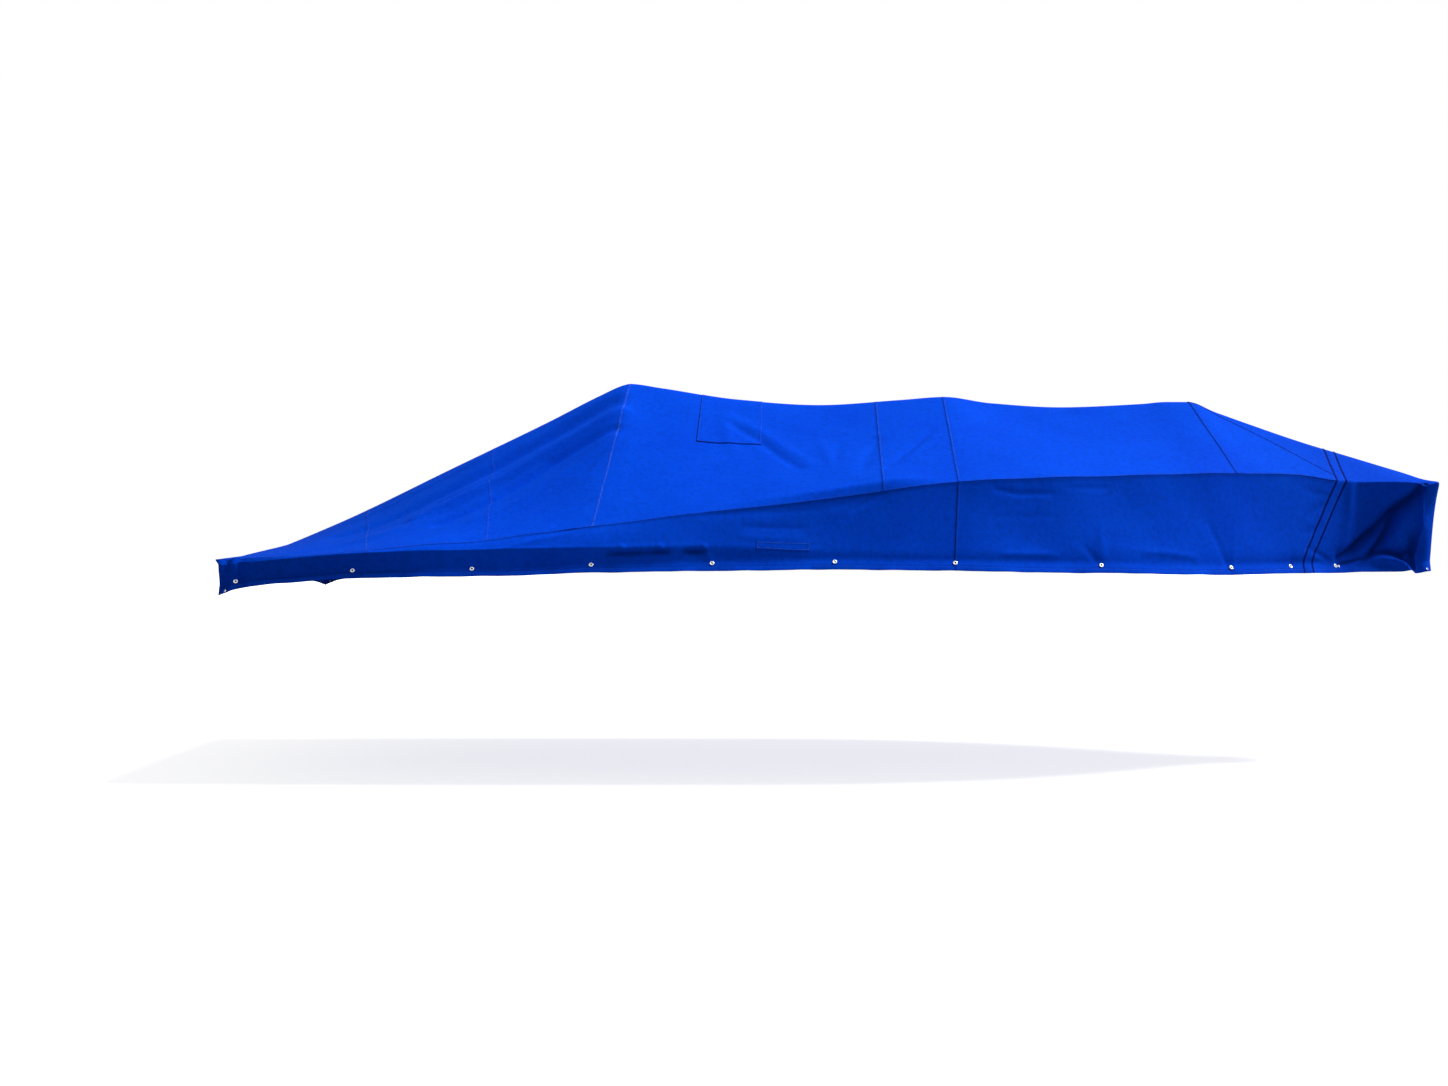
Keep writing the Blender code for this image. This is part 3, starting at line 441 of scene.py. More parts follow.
PORT_FOLDS = (
    roll(0.013, 0.012, (-2.07, 1.19), (-2.065, 1.36)),
    roll(0.013, -0.012, (-2.03, 1.17), (-2.02, 1.34)),
    # the far side has folds of the same kinds, in other places
    roll(0.07, 0.009, (-0.08, 0.36), (-0.60, 0.55), (-1.20, 0.80)),
    roll(0.055, -0.008, (-0.10, 0.60), (-0.50, 0.78), (-0.90, 1.00)),
    crease(0.024, -0.005, (-0.12, 0.72), (-0.32, 0.92)),
    roll(0.055, -0.007, (0.80, 0.25), (0.92, 0.44), (1.10, 0.66)),
    roll(0.04, 0.006, (0.66, 0.30), (0.82, 0.56), (1.00, 0.78)),
    roll(0.05, -0.006, (1.50, 0.80), (1.70, 0.36)),
    roll(0.03, -0.004, (1.36, 0.60), (1.26, 0.98)),
    roll(0.014, -0.005, (1.95, 1.23), (2.25, 1.21)),
    roll(0.016, -0.003, (0.75, 1.40), (1.05, 1.43)),
    crease(0.016, -0.006, (1.66, 1.50), (1.75, 1.64)),
    crease(0.016, -0.006, (2.60, 1.42), (2.56, 1.54)),
    crease(0.016, -0.006, (3.24, 1.18), (3.31, 1.34)),
    roll(0.018, -0.004, (3.90, 0.60), (3.84, 0.78)),
    roll(0.05, -0.032, (4.58, 0.36), (4.40, 0.54), (4.10, 0.88)),
    crease(0.014, -0.007, (4.58, 0.36), (4.40, 0.54), (4.10, 0.88)),
    roll(0.035, -0.02, (4.50, 0.50), (4.38, 0.70), (4.32, 0.80)),
    roll(0.02, 0.015, (4.56, 0.36), (4.55, 0.80)),
    roll(0.022, 0.014, (4.12, 0.89), (4.30, 0.82), (4.46, 0.81)),
    crease(0.014, -0.007, (4.12, 0.86), (4.30, 0.78), (4.44, 0.77)),
)
SHARED_FOLDS = (
    # low swells of the long unsupported stretches
    roll(0.20, -0.003, (2.10, 0.30), (2.70, 0.34)),
    roll(0.16, 0.003, (2.05, 0.80), (2.90, 0.62)),
)
FOLDS = [
    (side, fold)
    for side, folds in ((STBD, STARBOARD_FOLDS), (PORT, PORT_FOLDS), (BOTH, SHARED_FOLDS))
    for fold in folds
]
# Painted shade: how much each deep form darkens the cloth's colour along it.
DEEP_SHADE = {"crevice": 1.0, "hollow": 0.95}
FAR = 9.0                   # metres, beyond any place on the cover
FOLD_END = 0.12             # a fold starts and ends at this share of a half wave


def from_route(route, x, down):
    """Distance from a route, and how far along it (0 to 1) the nearest place is."""
    nearest = np.full(x.shape, FAR)
    along = np.zeros(x.shape)
    runs = [math.dist(a, b) for a, b in zip(route, route[1:])]
    done = 0.0
    for (ax, ad), (bx, bd), run in zip(route, route[1:], runs):
        t = np.clip(((x - ax) * (bx - ax) + (down - ad) * (bd - ad)) / run**2, 0.0, 1.0)
        away = np.hypot(x - ax - t * (bx - ax), down - ad - t * (bd - ad))
        closer = away < nearest
        nearest = np.where(closer, away, nearest)
        along = np.where(closer, (done + t * run) / sum(runs), along)
        done += run
    return nearest, along


def fold_form(x, down, side):
    """Height of the folds above the smooth cloth, and the shade painted into the colour along hollows and
    crevices. side is -1 or +1 at each place.
    """
    lift, shade = np.zeros(x.shape), np.zeros(x.shape)
    for fold_side, fold in FOLDS:
        here = (side == fold_side) | (fold_side == BOTH)
        if not here.any():
            continue
        away, along = from_route(fold.route, x, down)
        soft = np.exp(-((away / fold.width) ** 2))
        shape = soft if fold.form in ("roll", "hollow") else np.exp(-away / fold.width)
        ends = np.sin(math.pi * (FOLD_END + (1 - 2 * FOLD_END) * along)) ** 0.5
        lift += fold.depth * shape * ends * here
        # Painted shade in hollows and crevices.
        if fold.form in DEEP_SHADE:
            shade = np.maximum(shade, DEEP_SHADE[fold.form] * soft * ends * here)
    return lift, shade


print("folds:", len(FOLDS))

# %% [markdown]
# ## Small unevenness
#
# Even a tight cover isn't a perfect surface. Its threads relax, seams pucker a little and the hem
# waves. Random noise on each vertex would look like crumpled paper, so a few long waves with fixed
# phases are added instead: about a millimetre high, and steeper only near the hem.

# %% Waves
random = np.random.default_rng(24)
WAVE_RANGES = ((3.0, 16.0), (3.0, 16.0), (0.0, 6.3), (0.0, 6.3))       # along, across, shift and turn
WAVES = [[random.uniform(*limits) for limits in WAVE_RANGES] for _ in range(14)]
WAVE_HEIGHT = 0.0007
HEM_WAVE_HEIGHT = 0.0016
HEM_WAVE_START = 4.6        # the row from which the hem's own waves grow


def waves(x, down, side):
    total = np.zeros(x.shape)
    for along, across, shift, turn in WAVES:
        total += np.sin(along * x + 2.0 * np.sin(across * down * 0.5 + turn) + shift + side)
    return WAVE_HEIGHT * total


def hem_waves(x, q, side):
    """Short waves that die out above the snaps."""
    near_hem = np.clip((np.abs(q) - HEM_WAVE_START) / (HEM_ROW - HEM_WAVE_START), 0.0, 1.0) ** 2
    wave = np.sin(23.0 * x + side) + 0.6 * np.sin(41.0 * x + 2.0 * side + 1.3)
    return HEM_WAVE_HEIGHT * near_hem * wave


print("long waves:", len(WAVES))

# %% [markdown]
# ## Cloth with its folds
#
# A fold lifts the cloth along its own outward direction. That direction comes from two short steps on
# the smooth skin, one along the cover and one down it, whose cross product stands square on the cloth.
# It depends on the place alone, so panels, tapes and stitches that meet there all agree.

# %% Folded cloth
Cloth = namedtuple("Cloth", "points out flat shade")
DOWN_SAMPLES = np.concatenate((np.linspace(0, 1, 30), np.linspace(1, 2, 5)[1:], np.linspace(2, 6, 45)[1:]))
SHORT_STEP = 0.004
FULL_WAVES = 0.1            # the waves grow over this distance from the ridge


def unit(vectors):
    return vectors / np.maximum(np.linalg.norm(vectors, axis=-1, keepdims=True), 1e-12)


def run_along(points):
    """Distance along each row of points, from 0 at its start."""
    steps = np.linalg.norm(np.diff(points, axis=-2), axis=-1)
    return np.concatenate((np.zeros((*steps.shape[:-1], 1)), np.cumsum(steps, axis=-1)), axis=-1)


def way_out(lines, q):
    """Unit vectors that point out of the smooth cloth."""
    forward = smooth_skin(lines + SHORT_STEP, q) - smooth_skin(lines - SHORT_STEP, q)
    port, starboard = (row_at(usual_down(q) + step) for step in (SHORT_STEP, -SHORT_STEP))
    return unit(np.cross(forward, smooth_skin(lines, port) - smooth_skin(lines, starboard)))


def distance_down(lines, q):
    """Distance from the ridge along the cloth, at each row of each line."""
    lengths = run_along(smooth_skin(lines, DOWN_SAMPLES[None, :]))
    return np.array([np.interp(row, DOWN_SAMPLES, length) for row, length in zip(np.abs(q), lengths)])


def folded_cloth(lines, q, rise=0.0):
    """The cloth on a grid of lines and signed rows, raised by a further amount: its outer surface."""
    lines = np.asarray(lines, float)
    q = rows_of(lines, q)
    points = smooth_skin(lines, q)
    out = way_out(lines, q)
    down = distance_down(lines, q)
    side = np.where(q < 0, -1.0, 1.0)
    x = points[..., 0]
    lift, shade = fold_form(x, down, side)
    lift = lift + waves(x, down, side) * np.minimum(down / FULL_WAVES, 1.0) + hem_waves(x, q, side) + rise
    return Cloth(points + out * lift[..., None], out, np.stack((x, down * side), axis=-1), shade)


print("samples down each line:", len(DOWN_SAMPLES))

# %% [markdown]
# ## How an edge is sewn
#
# Two panels meet in a lapped seam: the edge of one lies over the other and two rows of thread hold it.
# The upper edge stands a little proud, and the lower one dips under it. An edge style lists what
# happens with the distance from the seam: how far the cloth rises, and how much its colour darkens,
# for dirt and for the shade painted into the seam's groove. The same styles serve all seams and hems.

# %% Edge styles
Place = namedtuple("Place", "inward rise dark")


def edge_style(*places):
    return tuple(Place(*place) for place in places)


THICK = 0.0014              # one layer of canvas
OVER = edge_style(
    (0.0, 0.0010, 0.6), (0.0015, 0.0012, 0.1), (0.011, 0.0010, 0.05), (0.015, 0.0, 0.3), (0.022, 0.0, 0.0))
UNDER = edge_style(
    (-0.010, -0.0008, 0.9), (-0.0005, -0.0008, 0.9), (0.0030, -0.0004, 0.8), (0.0070, 0.0, 0.4),
    (0.0140, 0.0, 0.0))
BUTT = edge_style((0.0002, 0.0, 0.3), (0.006, 0.0, 0.2), (0.012, 0.0, 0.0))
HEM_EDGE = edge_style(
    (0.0, -0.0003, 0.3), (0.003, 0.0004, 0.1), (0.026, 0.0005, 0.1), (0.030, 0.0, 0.4), (0.040, 0.0, 0.0))
FOLDED_EDGE = edge_style(
    (0.0, 0.0, 0.9), (0.0025, 0.0006, 0.1), (0.009, 0.0006, 0.1), (0.013, 0.0, 0.2), (0.020, 0.0, 0.0))
NO_EDGE = edge_style((0.0, 0.0, 0.0))
SEAM_DARK = {
    "low_join": 0.08, "high_join": 0.05, "aft_peak": 0.05,
    "insert_aft": 0.8, "insert_fore": 0.8, "fore_peak": 1.0,
}
LONG_SEAM_DARK = 0.6
LEAST_RISE = 0.35           # even the flattest lap keeps this share of its rise


def worn(style, amount):
    """A style for seams that are flatter than others, with less dirt and painted shade: its dark and its rise
    are scaled.
    """
    flatter = max(amount, LEAST_RISE)
    return tuple(place._replace(rise=place.rise * flatter, dark=place.dark * amount) for place in style)


def style_part(style, name):
    return np.array([getattr(place, name) for place in style])


def along_edge(style, inward, name):
    """A style's rise or dark at distances inward from the edge."""
    return np.interp(inward, style_part(style, "inward"), style_part(style, name))


def with_edges(start_style, end_style, length, step):
    """Places across a panel: both edges' own places, and even steps between them."""
    first, last = style_part(start_style, "inward"), length - style_part(end_style, "inward")[::-1]
    middle = np.linspace(first[-1], last[0], max(round((last[0] - first[-1]) / step), 1) + 1)
    return np.concatenate((first, middle[1:-1], last))


print("places across a 300 mm panel:", len(with_edges(OVER, UNDER, 0.3, 0.013)))

# %% [markdown]
# ## Panels
#
# A panel is a grid between two seams and between two rows. Its columns keep their distance from the
# nearer seam, so a lap stays equally wide all along it, and its rows do the same at their own edges.
# The outer surface is built as a grid, and a Solidify modifier gives it the thickness of one layer.

# %% Panel builder
STEP = 0.013
MERGE = 0.00001
SMALL_ROW = 0.02            # a short way in q, to measure the cloth there
SEAM_SHARE = 0.12           # how much of a panel's length at each end keeps parallel to its seam


def column_lines(start, end, places):
    """Lines at distances from the start seam: parallel to the nearer seam close to it, mixed between."""
    start, end = np.asarray(start, float), np.asarray(end, float)
    length = (end - start).mean()
    share = np.clip((places / length - SEAM_SHARE) / (1 - 2 * SEAM_SHARE), 0.0, 1.0)[:, None]
    place = places[:, None]
    return (1 - share) * (start + place) + share * (end - (length - place))


def metres_per_row(lines, q, toward):
    """Length of cloth in one unit of q, just beside the row q, on its toward side."""
    beside = smooth_skin(lines, q + SMALL_ROW * toward)
    return np.linalg.norm(beside - smooth_skin(lines, q), axis=-1) / SMALL_ROW


def row_places(lines, q_low, q_high, low_style, high_style, step):
    """Rows between two signed rows, with each edge's own places kept at their true distances."""
    q_low, q_high = (np.broadcast_to(q, (len(lines), 1)) for q in (q_low, q_high))
    first = q_low + style_part(low_style, "inward") / metres_per_row(lines, q_low, 1)
    last = q_high - style_part(high_style, "inward")[::-1] / metres_per_row(lines, q_high, -1)
    low, high = usual_down(first[:, -1:]), usual_down(last[:, :1])
    count = max(round(float((high - low).max()) / step), 2)
    middle = low + (high - low) * np.linspace(0, 1, count + 1)[1:-1]
    return np.concatenate((first, row_at(middle), last), axis=1)


def grid_faces(columns, rows):
    corner = np.arange(columns * rows).reshape(columns, rows)
    quads = np.stack((corner[:-1, :-1], corner[1:, :-1], corner[1:, 1:], corner[:-1, 1:]), axis=-1)
    return quads.reshape(-1, 4)


def add_piece(name, points, faces, flat, dark):
    """A mesh object, with a UV map in metres on the flat cloth and the dark attribute: seam dirt, and painted
    shade in seams and deep folds.
    """
    data = bpy.data.meshes.new(name)
    data.from_pydata(np.asarray(points).reshape(-1, 3).tolist(), [], [list(map(int, face)) for face in faces])
    corners = np.empty(len(data.loops), dtype=np.int32)
    data.loops.foreach_get("vertex_index", corners)
    layer = data.uv_layers.new(name="flat")
    layer.data.foreach_set("uv", np.asarray(flat).reshape(-1, 2)[corners].ravel())
    data.attributes.new("dark", "FLOAT", "POINT").data.foreach_set("value", np.asarray(dark).ravel())
    data.shade_smooth()
    return add_object(name, data)


def give_thickness(piece, thickness=THICK):
    layer = piece.modifiers.new("thickness", "SOLIDIFY")
    layer.thickness = thickness
    layer.offset = -1.0


def cut_panel(name, start, end, q_low, q_high, styles, step=STEP, lift=0.0, thickness=THICK):
    """A sewn panel. styles are those of its start, its end, its starboard row and its port row."""
    start_style, end_style, low_style, high_style = styles
    length = (np.asarray(end, float) - np.asarray(start, float)).mean()
    places = with_edges(start_style, end_style, length, step)
    lines = column_lines(start, end, places)
    q_low, q_high = (q(lines) if callable(q) else q for q in (q_low, q_high))
    q = row_places(lines, q_low, q_high, low_style, high_style, step)
    away = run_along(smooth_skin(lines, q))
    edges = (
        (start_style, places[:, None]), (end_style, (length - places)[:, None]),
        (low_style, away + low_style[0].inward), (high_style, away[:, -1:] - away + high_style[0].inward),
    )
    rises, darks = ([along_edge(style, inward, part) for style, inward in edges] for part in ("rise", "dark"))
    cloth = folded_cloth(lines, q, sum(rises) + lift)
    # The dark attribute: seam dirt with painted seam shade, and the painted shade of deep folds.
    dark = np.maximum.reduce(np.broadcast_arrays(*darks, cloth.shade))
    piece = add_piece(name + "_cloth", cloth.points, grid_faces(*q.shape), cloth.flat, dark)
    give_thickness(piece, thickness)
    return piece

# %% [markdown]
# ## The top
#
# Six widths of canvas run across the cover from one long seam to the other. Each one's aft edge lies
# over the next width down the slope, so that water runs off. The foredeck and its two gussets share
# one more bay: the seam between them spreads with a power of the distance from the fore peak.

# %% Top panels
TOP_WIDTHS = (
    ("stern_top", "stern", "low_join"), ("aft_top_low", "low_join", "high_join"),
    ("aft_top_high", "high_join", "aft_peak"), ("mid_top", "aft_peak", "insert_aft"),
    ("insert_top", "insert_aft", "insert_fore"), ("fore_top", "insert_fore", "fore_peak"),
)
cloth_pieces = {}
for name, start, end in TOP_WIDTHS:
    aft_edge = BUTT if start == "stern" else worn(OVER, SEAM_DARK[start])
    styles = (aft_edge, worn(UNDER, SEAM_DARK[end]), worn(OVER, LONG_SEAM_DARK), worn(OVER, LONG_SEAM_DARK))
    cloth_pieces[name] = cut_panel(name, SEAMS[start], SEAMS[end], -LONG, LONG, styles)

WEDGE_START, WEDGE_LENGTH = 3.30, 0.75
WEDGE_TIP, WEDGE_SPREAD, WEDGE_POWER = 0.020, 0.300, 1.35


def gusset_row(lines):
    """Row at which the seam between foredeck and gusset crosses each line."""
    ridge_x, seam_x = lines[:, 0], lines[:, 1]
    seam_y = curve(LONG_SEAM, "half_width", seam_x)
    x = ridge_x
    for _ in range(4):
        along = np.maximum(x - WEDGE_START, 0.0) / WEDGE_LENGTH
        half = WEDGE_TIP + WEDGE_SPREAD * along**WEDGE_POWER
        x = ridge_x + (seam_x - ridge_x) * half / seam_y
    return (half / (seam_y - BROW_IN))[:, None]


def starboard_gusset_row(lines):
    return -gusset_row(lines)


bay = SEAMS["fore_peak"], SEAMS["aft_binding"]
for name, low, high, low_style, high_style in (
    ("foredeck", starboard_gusset_row, gusset_row, OVER, OVER),
    ("gusset_stbd", -LONG, starboard_gusset_row, OVER, UNDER),
    ("gusset_port", gusset_row, LONG, UNDER, OVER),
):
    cloth_pieces[name] = cut_panel(name, *bay, low, high, (OVER, BUTT, low_style, high_style))
print({name: len(piece.data.polygons) for name, piece in cloth_pieces.items()})

# %% [markdown]
# ## The sides and the band
#
# Two long widths make each side, from under the long seam to a doubled hem. The band is one narrow
# strip from hem to hem between the two bound seams.

# %% Sides and band
SIDE_STEP = 0.012
SIDES = (
    ("side_aft_", "stern", "insert_fore", BUTT, UNDER),
    ("side_fore_", "insert_fore", "aft_binding", OVER, BUTT),
)
under_seam = worn(UNDER, LONG_SEAM_DARK)
for tag, rows, edges in (
    ("stbd", (-HEM_ROW, -LONG), (HEM_EDGE, under_seam)), ("port", (LONG, HEM_ROW), (under_seam, HEM_EDGE)),
):
    for name, start, end, *ends in SIDES:
        name += tag
        cloth_pieces[name] = cut_panel(name, SEAMS[start], SEAMS[end], *rows, (*ends, *edges), SIDE_STEP)
band_styles = (BUTT, BUTT, HEM_EDGE, HEM_EDGE)
band_ends = SEAMS["aft_binding"], SEAMS["fore_binding"]
cloth_pieces["band"] = cut_panel("band", *band_ends, -HEM_ROW, HEM_ROW, band_styles)
print("panels so far:", len(cloth_pieces))

# %% [markdown]
# ## The nose
#
# At the bow end the cloth drops straight down in front. Its sides are part of the same skin, but its
# front turns a corner, which a grid of lines across the cover can't do. So the front gets columns of
# its own round the two corners, and a cap joins the last line to the front's upper edge. A few
# smoothing passes then round that edge, as tight canvas does.

# %% Nose
NOSE_TOP_X, NOSE_HEM_X = 4.710, 4.652
NOSE_CORNER = 0.090         # how far across the front a corner's curve runs
CORNER_END, FRONT_MIDDLE = 4.0, 10.0
FRONT_RISE = 0.012
CAP_COLUMNS = 12
CAP_SHARES = (0.0, 0.045, 0.17, 0.30, 0.43, 0.57, 0.71, 0.85, 1.0)
NOSE_STEP = 0.008
NEAR_BROW = 0.9             # the row where the finer rows begin
RIDGE_STEP = 0.036          # the usual distances are some four times too long on the nose's narrow top
EDGE_PASSES, EDGE_REACH, EDGE_START = 14, 0.030, 4.62
BLEND_REACH = 0.04          # over this distance the front leans onto the ends of the last line
FRONT_FLAT = (4.6, 0.3)     # where the front starts on the flat map
CORNER_LINE = np.asarray(SEAMS["nose_corner"], float)[None, :]


def front_places(columns, rows):
    """Smooth places on the nose's front: columns run 0 to 20 from one corner's line to the other's."""
    start = smooth_skin(CORNER_LINE, rows)[0]
    near = np.where(columns > FRONT_MIDDLE, 2 * FRONT_MIDDLE - columns, columns)[:, None]
    turn = 0.5 * math.pi * np.clip(near / CORNER_END, 0.0, 1.0)
    straight = np.clip((near - CORNER_END) / (FRONT_MIDDLE - CORNER_END), 0.0, 1.0)
    ends = smooth_skin(CORNER_LINE, np.array([LONG, HEM_ROW]))[0]
    depth = (ends[0, 2] - start[:, 2]) / (ends[0, 2] - ends[1, 2])
    front_x = NOSE_TOP_X + depth * (NOSE_HEM_X - NOSE_TOP_X)
    x = start[:, 0] + (front_x - start[:, 0]) * np.sin(turn)
    y = (start[:, 1] - NOSE_CORNER) * (1 - straight) + NOSE_CORNER * np.cos(turn)
    z = start[:, 2] + FRONT_RISE * (1 - depth) * np.sin(turn)
    side = np.where(columns > FRONT_MIDDLE, 1.0, -1.0)[:, None]
    return stack(x, side * y, z)


def cap_column(q):
    """The front column that faces a row of the last line."""
    rows = np.interp(np.abs(q), (*CAP_SHARES, LONG), range(len(CAP_SHARES) + 1))
    return FRONT_MIDDLE + np.where(q < 0, -rows, rows)


nose_length = (CORNER_LINE[0] - SEAMS["fore_binding"]).mean()
nose_places = with_edges(BUTT, BUTT, nose_length, NOSE_STEP)
nose_lines = column_lines(SEAMS["fore_binding"], CORNER_LINE[0], nose_places)
nose_lines[-1] = CORNER_LINE
top_half = row_places(nose_lines, 0.0, NEAR_BROW, NO_EDGE, NO_EDGE, RIDGE_STEP)
brow_half = row_places(nose_lines, NEAR_BROW, LONG, NO_EDGE, NO_EDGE, NOSE_STEP)
upper_half = np.concatenate((top_half[:, :-1], brow_half), axis=1)
lower_half = row_places(nose_lines, LONG, HEM_ROW, NO_EDGE, HEM_EDGE, NOSE_STEP)
half_rows = np.concatenate((upper_half, lower_half[:, 1:]), axis=1)
nose_rows = np.concatenate((-half_rows[:, :0:-1], half_rows), axis=1)
nose_sides = folded_cloth(nose_lines, nose_rows)

last_rows = lower_half[-1]
cap_rows = np.concatenate((-upper_half[-1, :0:-1], upper_half[-1]))
start_columns = np.linspace(0.0, 1.0, CAP_COLUMNS + 1)[:-1]
front_columns = np.concatenate((start_columns, cap_column(cap_rows), 2 * FRONT_MIDDLE - start_columns[::-1]))
front = front_places(front_columns, last_rows)
front_out = unit(np.cross(np.gradient(front, axis=0), -np.gradient(front, axis=1)))
edge_rows = len(last_rows)
last_line = nose_sides.points[-1]
for end, target in ((0, last_line[:edge_rows][::-1]), (-1, last_line[-edge_rows:])):
    smooth = front[end].copy()
    from_end = np.linalg.norm(front - smooth, axis=-1)[..., None]
    front += (target - smooth) * np.exp(-((from_end / BLEND_REACH) ** 2))
cap_start = last_line[edge_rows - 1: edge_rows - 1 + len(cap_rows)]
rim = front[CAP_COLUMNS:-CAP_COLUMNS, 0]
shares = np.linspace(0.0, 1.0, CAP_COLUMNS + 1)[:, None, None]
cap = cap_start * (1 - shares) + rim * shares
cap[:, 0], cap[:, -1] = front[: CAP_COLUMNS + 1, 0], front[::-1][: CAP_COLUMNS + 1, 0]

around = run_along(front[:, 0])
across_front = FRONT_FLAT[0] + np.minimum(around, around[-1] - around)[:, None]
front_flat = np.stack(np.broadcast_arrays(across_front, -(FRONT_FLAT[1] + run_along(front[0]))), axis=-1)
grids = ((nose_sides.points, nose_sides.flat), (cap, cap[..., :2]), (front, front_flat))
nose_points, nose_flat, nose_faces, done = [], [], [], 0
for points, flat in grids:
    faces = grid_faces(*points.shape[:2]) + done
    nose_faces.extend(faces.tolist())
    nose_points.append(points.reshape(-1, 3))
    nose_flat.append(np.asarray(flat).reshape(-1, 2))
    done += points.shape[0] * points.shape[1]
# The nose's dark attribute is the painted shade of its deep folds.
nose_fold_shade = np.concatenate((nose_sides.shade.ravel(), np.zeros(done - nose_sides.shade.size)))
nose = add_piece("nose_cloth", np.concatenate(nose_points), nose_faces, np.concatenate(nose_flat), nose_fold_shade)
shape = bmesh.new()
shape.from_mesh(nose.data)
bmesh.ops.remove_doubles(shape, verts=shape.verts, dist=MERGE)
bmesh.ops.recalc_face_normals(shape, faces=shape.faces)
rim_height = float(rim[:, 2].mean())
at_edge = [
    vert for vert in shape.verts
    if vert.co.x > EDGE_START and abs(vert.co.z - rim_height) < EDGE_REACH and not vert.is_boundary
]
for _ in range(EDGE_PASSES):
    bmesh.ops.smooth_vert(shape, verts=at_edge, factor=0.5, use_axis_x=True, use_axis_y=True, use_axis_z=True)
print("nose: vertices", len(shape.verts), "open edges", sum(edge.is_boundary for edge in shape.edges))
shape.to_mesh(nose.data)
shape.free()
give_thickness(nose)
cloth_pieces["nose"] = nose
print("nose faces:", len(nose.data.polygons))

# %% [markdown]
# ## The stern end
#
# A plain valance closes the stern. It hangs just inside the edges of the top and the two sides, so
# it takes its places from their stern lines, and a little slack lets it wave.

# %% Stern end
END_IN = 0.0022             # under the outer surface of the cloth around it
END_ROWS = 30
END_WAVE = 0.006
END_RISE = 0.048            # its hem runs higher between the two corners
END_FORWARD = 0.0004
stern_line = np.asarray(SEAMS["stern"], float)[None, :]
top_rows = np.linspace(-BROW, BROW, 141)[1:-1]
head_rows = np.concatenate((np.linspace(-LONG, -BROW, 7), top_rows, np.linspace(BROW, LONG, 7)))
head = folded_cloth(stern_line, head_rows)
head_points = head.points[0] - head.out[0] * END_IN
sixtieths = np.linspace(0, 1, 60)
side_down = (USUAL_DOWN[2:] - USUAL_DOWN[2]) / (USUAL_DOWN[-1] - USUAL_DOWN[2])
side_rows = np.interp(np.linspace(0, 1, END_ROWS), sixtieths, np.interp(sixtieths, side_down, range(2, 7)))
edge = smooth_skin(stern_line, side_rows)[0] - way_out(stern_line, side_rows[None, :])[0] * END_IN
fallen = ((edge[0, 2] - edge[:, 2]) / (edge[0, 2] - edge[-1, 2]))[None, :]
to_side = np.clip(np.abs(head_rows) - BROW, 0.0, 1.0)[:, None]
head_y, head_z = head_points[:, 1:2], head_points[:, 2:3]
hem_z = edge[-1, 2]
valance_hem = hem_z + END_RISE * np.clip(1 - (head_y / edge[-1, 1]) ** 4, 0.0, 1.0)
valance_z = head_z + fallen * (valance_hem - head_z)
valance_y = head_y + to_side * np.sign(head_y) * (edge[:, 1] - edge[0, 1])
ripple = np.sin(7.0 * head_y + 0.6) + 0.5 * np.sin(17.0 * head_y + 2.0) + 0.3 * np.sin(31.0 * head_y)
free = fallen * (1 - 0.85 * np.abs(head_y) / np.abs(head_y).max())
valance_x = np.broadcast_to(edge[:, 0], valance_z.shape) + END_WAVE * ripple * free + END_FORWARD
valance = stack(valance_x, valance_y, valance_z)
above_hem = (1 - fallen) * (edge[0, 2] - hem_z)
valance_dark = np.broadcast_to(along_edge(HEM_EDGE, above_hem, "dark"), valance_z.shape)
stern_end = add_piece(
    "stern_end_cloth", valance[::-1], grid_faces(*valance.shape[:2]), valance[::-1, :, 1:], valance_dark,
)
give_thickness(stern_end)
cloth_pieces["stern_end"] = stern_end
print("stern end:", valance.shape, "height of the middle", round(float(head_z.max() - hem_z), 3))

# %% [markdown]
# ## Patches
#
# Two rectangles are sewn over places that rub: one across the ridge, and a low one above the snaps.
# Each is the same skin, raised to lie on the cloth, with its edges turned under.

# %% Patches
PATCH_LIFT, PATCH_THICK, PATCH_STEP = 0.0019, 0.0013, 0.012
INSIDE = 0.003              # the turned edge stands this far inside the seam lines
turned = (FOLDED_EDGE, worn(FOLDED_EDGE, 0.25), FOLDED_EDGE, FOLDED_EDGE)
low_turned = (worn(FOLDED_EDGE, 0.5),) * 4
PATCHES = {
    "patch_upper": ("patch_aft", "patch_fore", (-0.43, 0.43), turned),
    "patch_lower": ("patch_fore", "low_patch_fore", (-2.99, -2.81), low_turned),
}
patches = {
    name: cut_panel(
        name, np.add(SEAMS[aft], INSIDE), np.subtract(SEAMS[fore], INSIDE), *rows, styles,
        PATCH_STEP, PATCH_LIFT, PATCH_THICK)
    for name, (aft, fore, rows, styles) in PATCHES.items()
}
print("patches:", {name: rounded(piece.dimensions) for name, piece in patches.items()})

# %% [markdown]
# ## Bindings
#
# A navy tape covers each of the two diagonal seams, from hem to hem. Its section is a flat loop with
# rounded edges, swept along the seam: forward is the tape's width, and up is the cloth's own outward
# direction, so that it stays flat on the cloth round the brow.

# %% Bindings
TAPE_SECTION = (
    (-0.0050, 0.0003), (-0.0052, 0.0010), (-0.0045, 0.0018), (-0.0030, 0.0020), (0.0, 0.0021),
    (0.0030, 0.0020), (0.0045, 0.0018), (0.0052, 0.0010), (0.0050, 0.0003), (0.0, 0.0002),
)
TAPE_STEP = 0.006


def even_rows(line, low, high, step):
    """Signed rows along one line, evenly spaced on the cloth."""
    fine = np.linspace(low, high, 1500)[None, :]
    run = run_along(smooth_skin(line, fine)[0])
    return np.interp(np.linspace(0, run[-1], round(run[-1] / step) + 1), run, fine[0])[None, :]


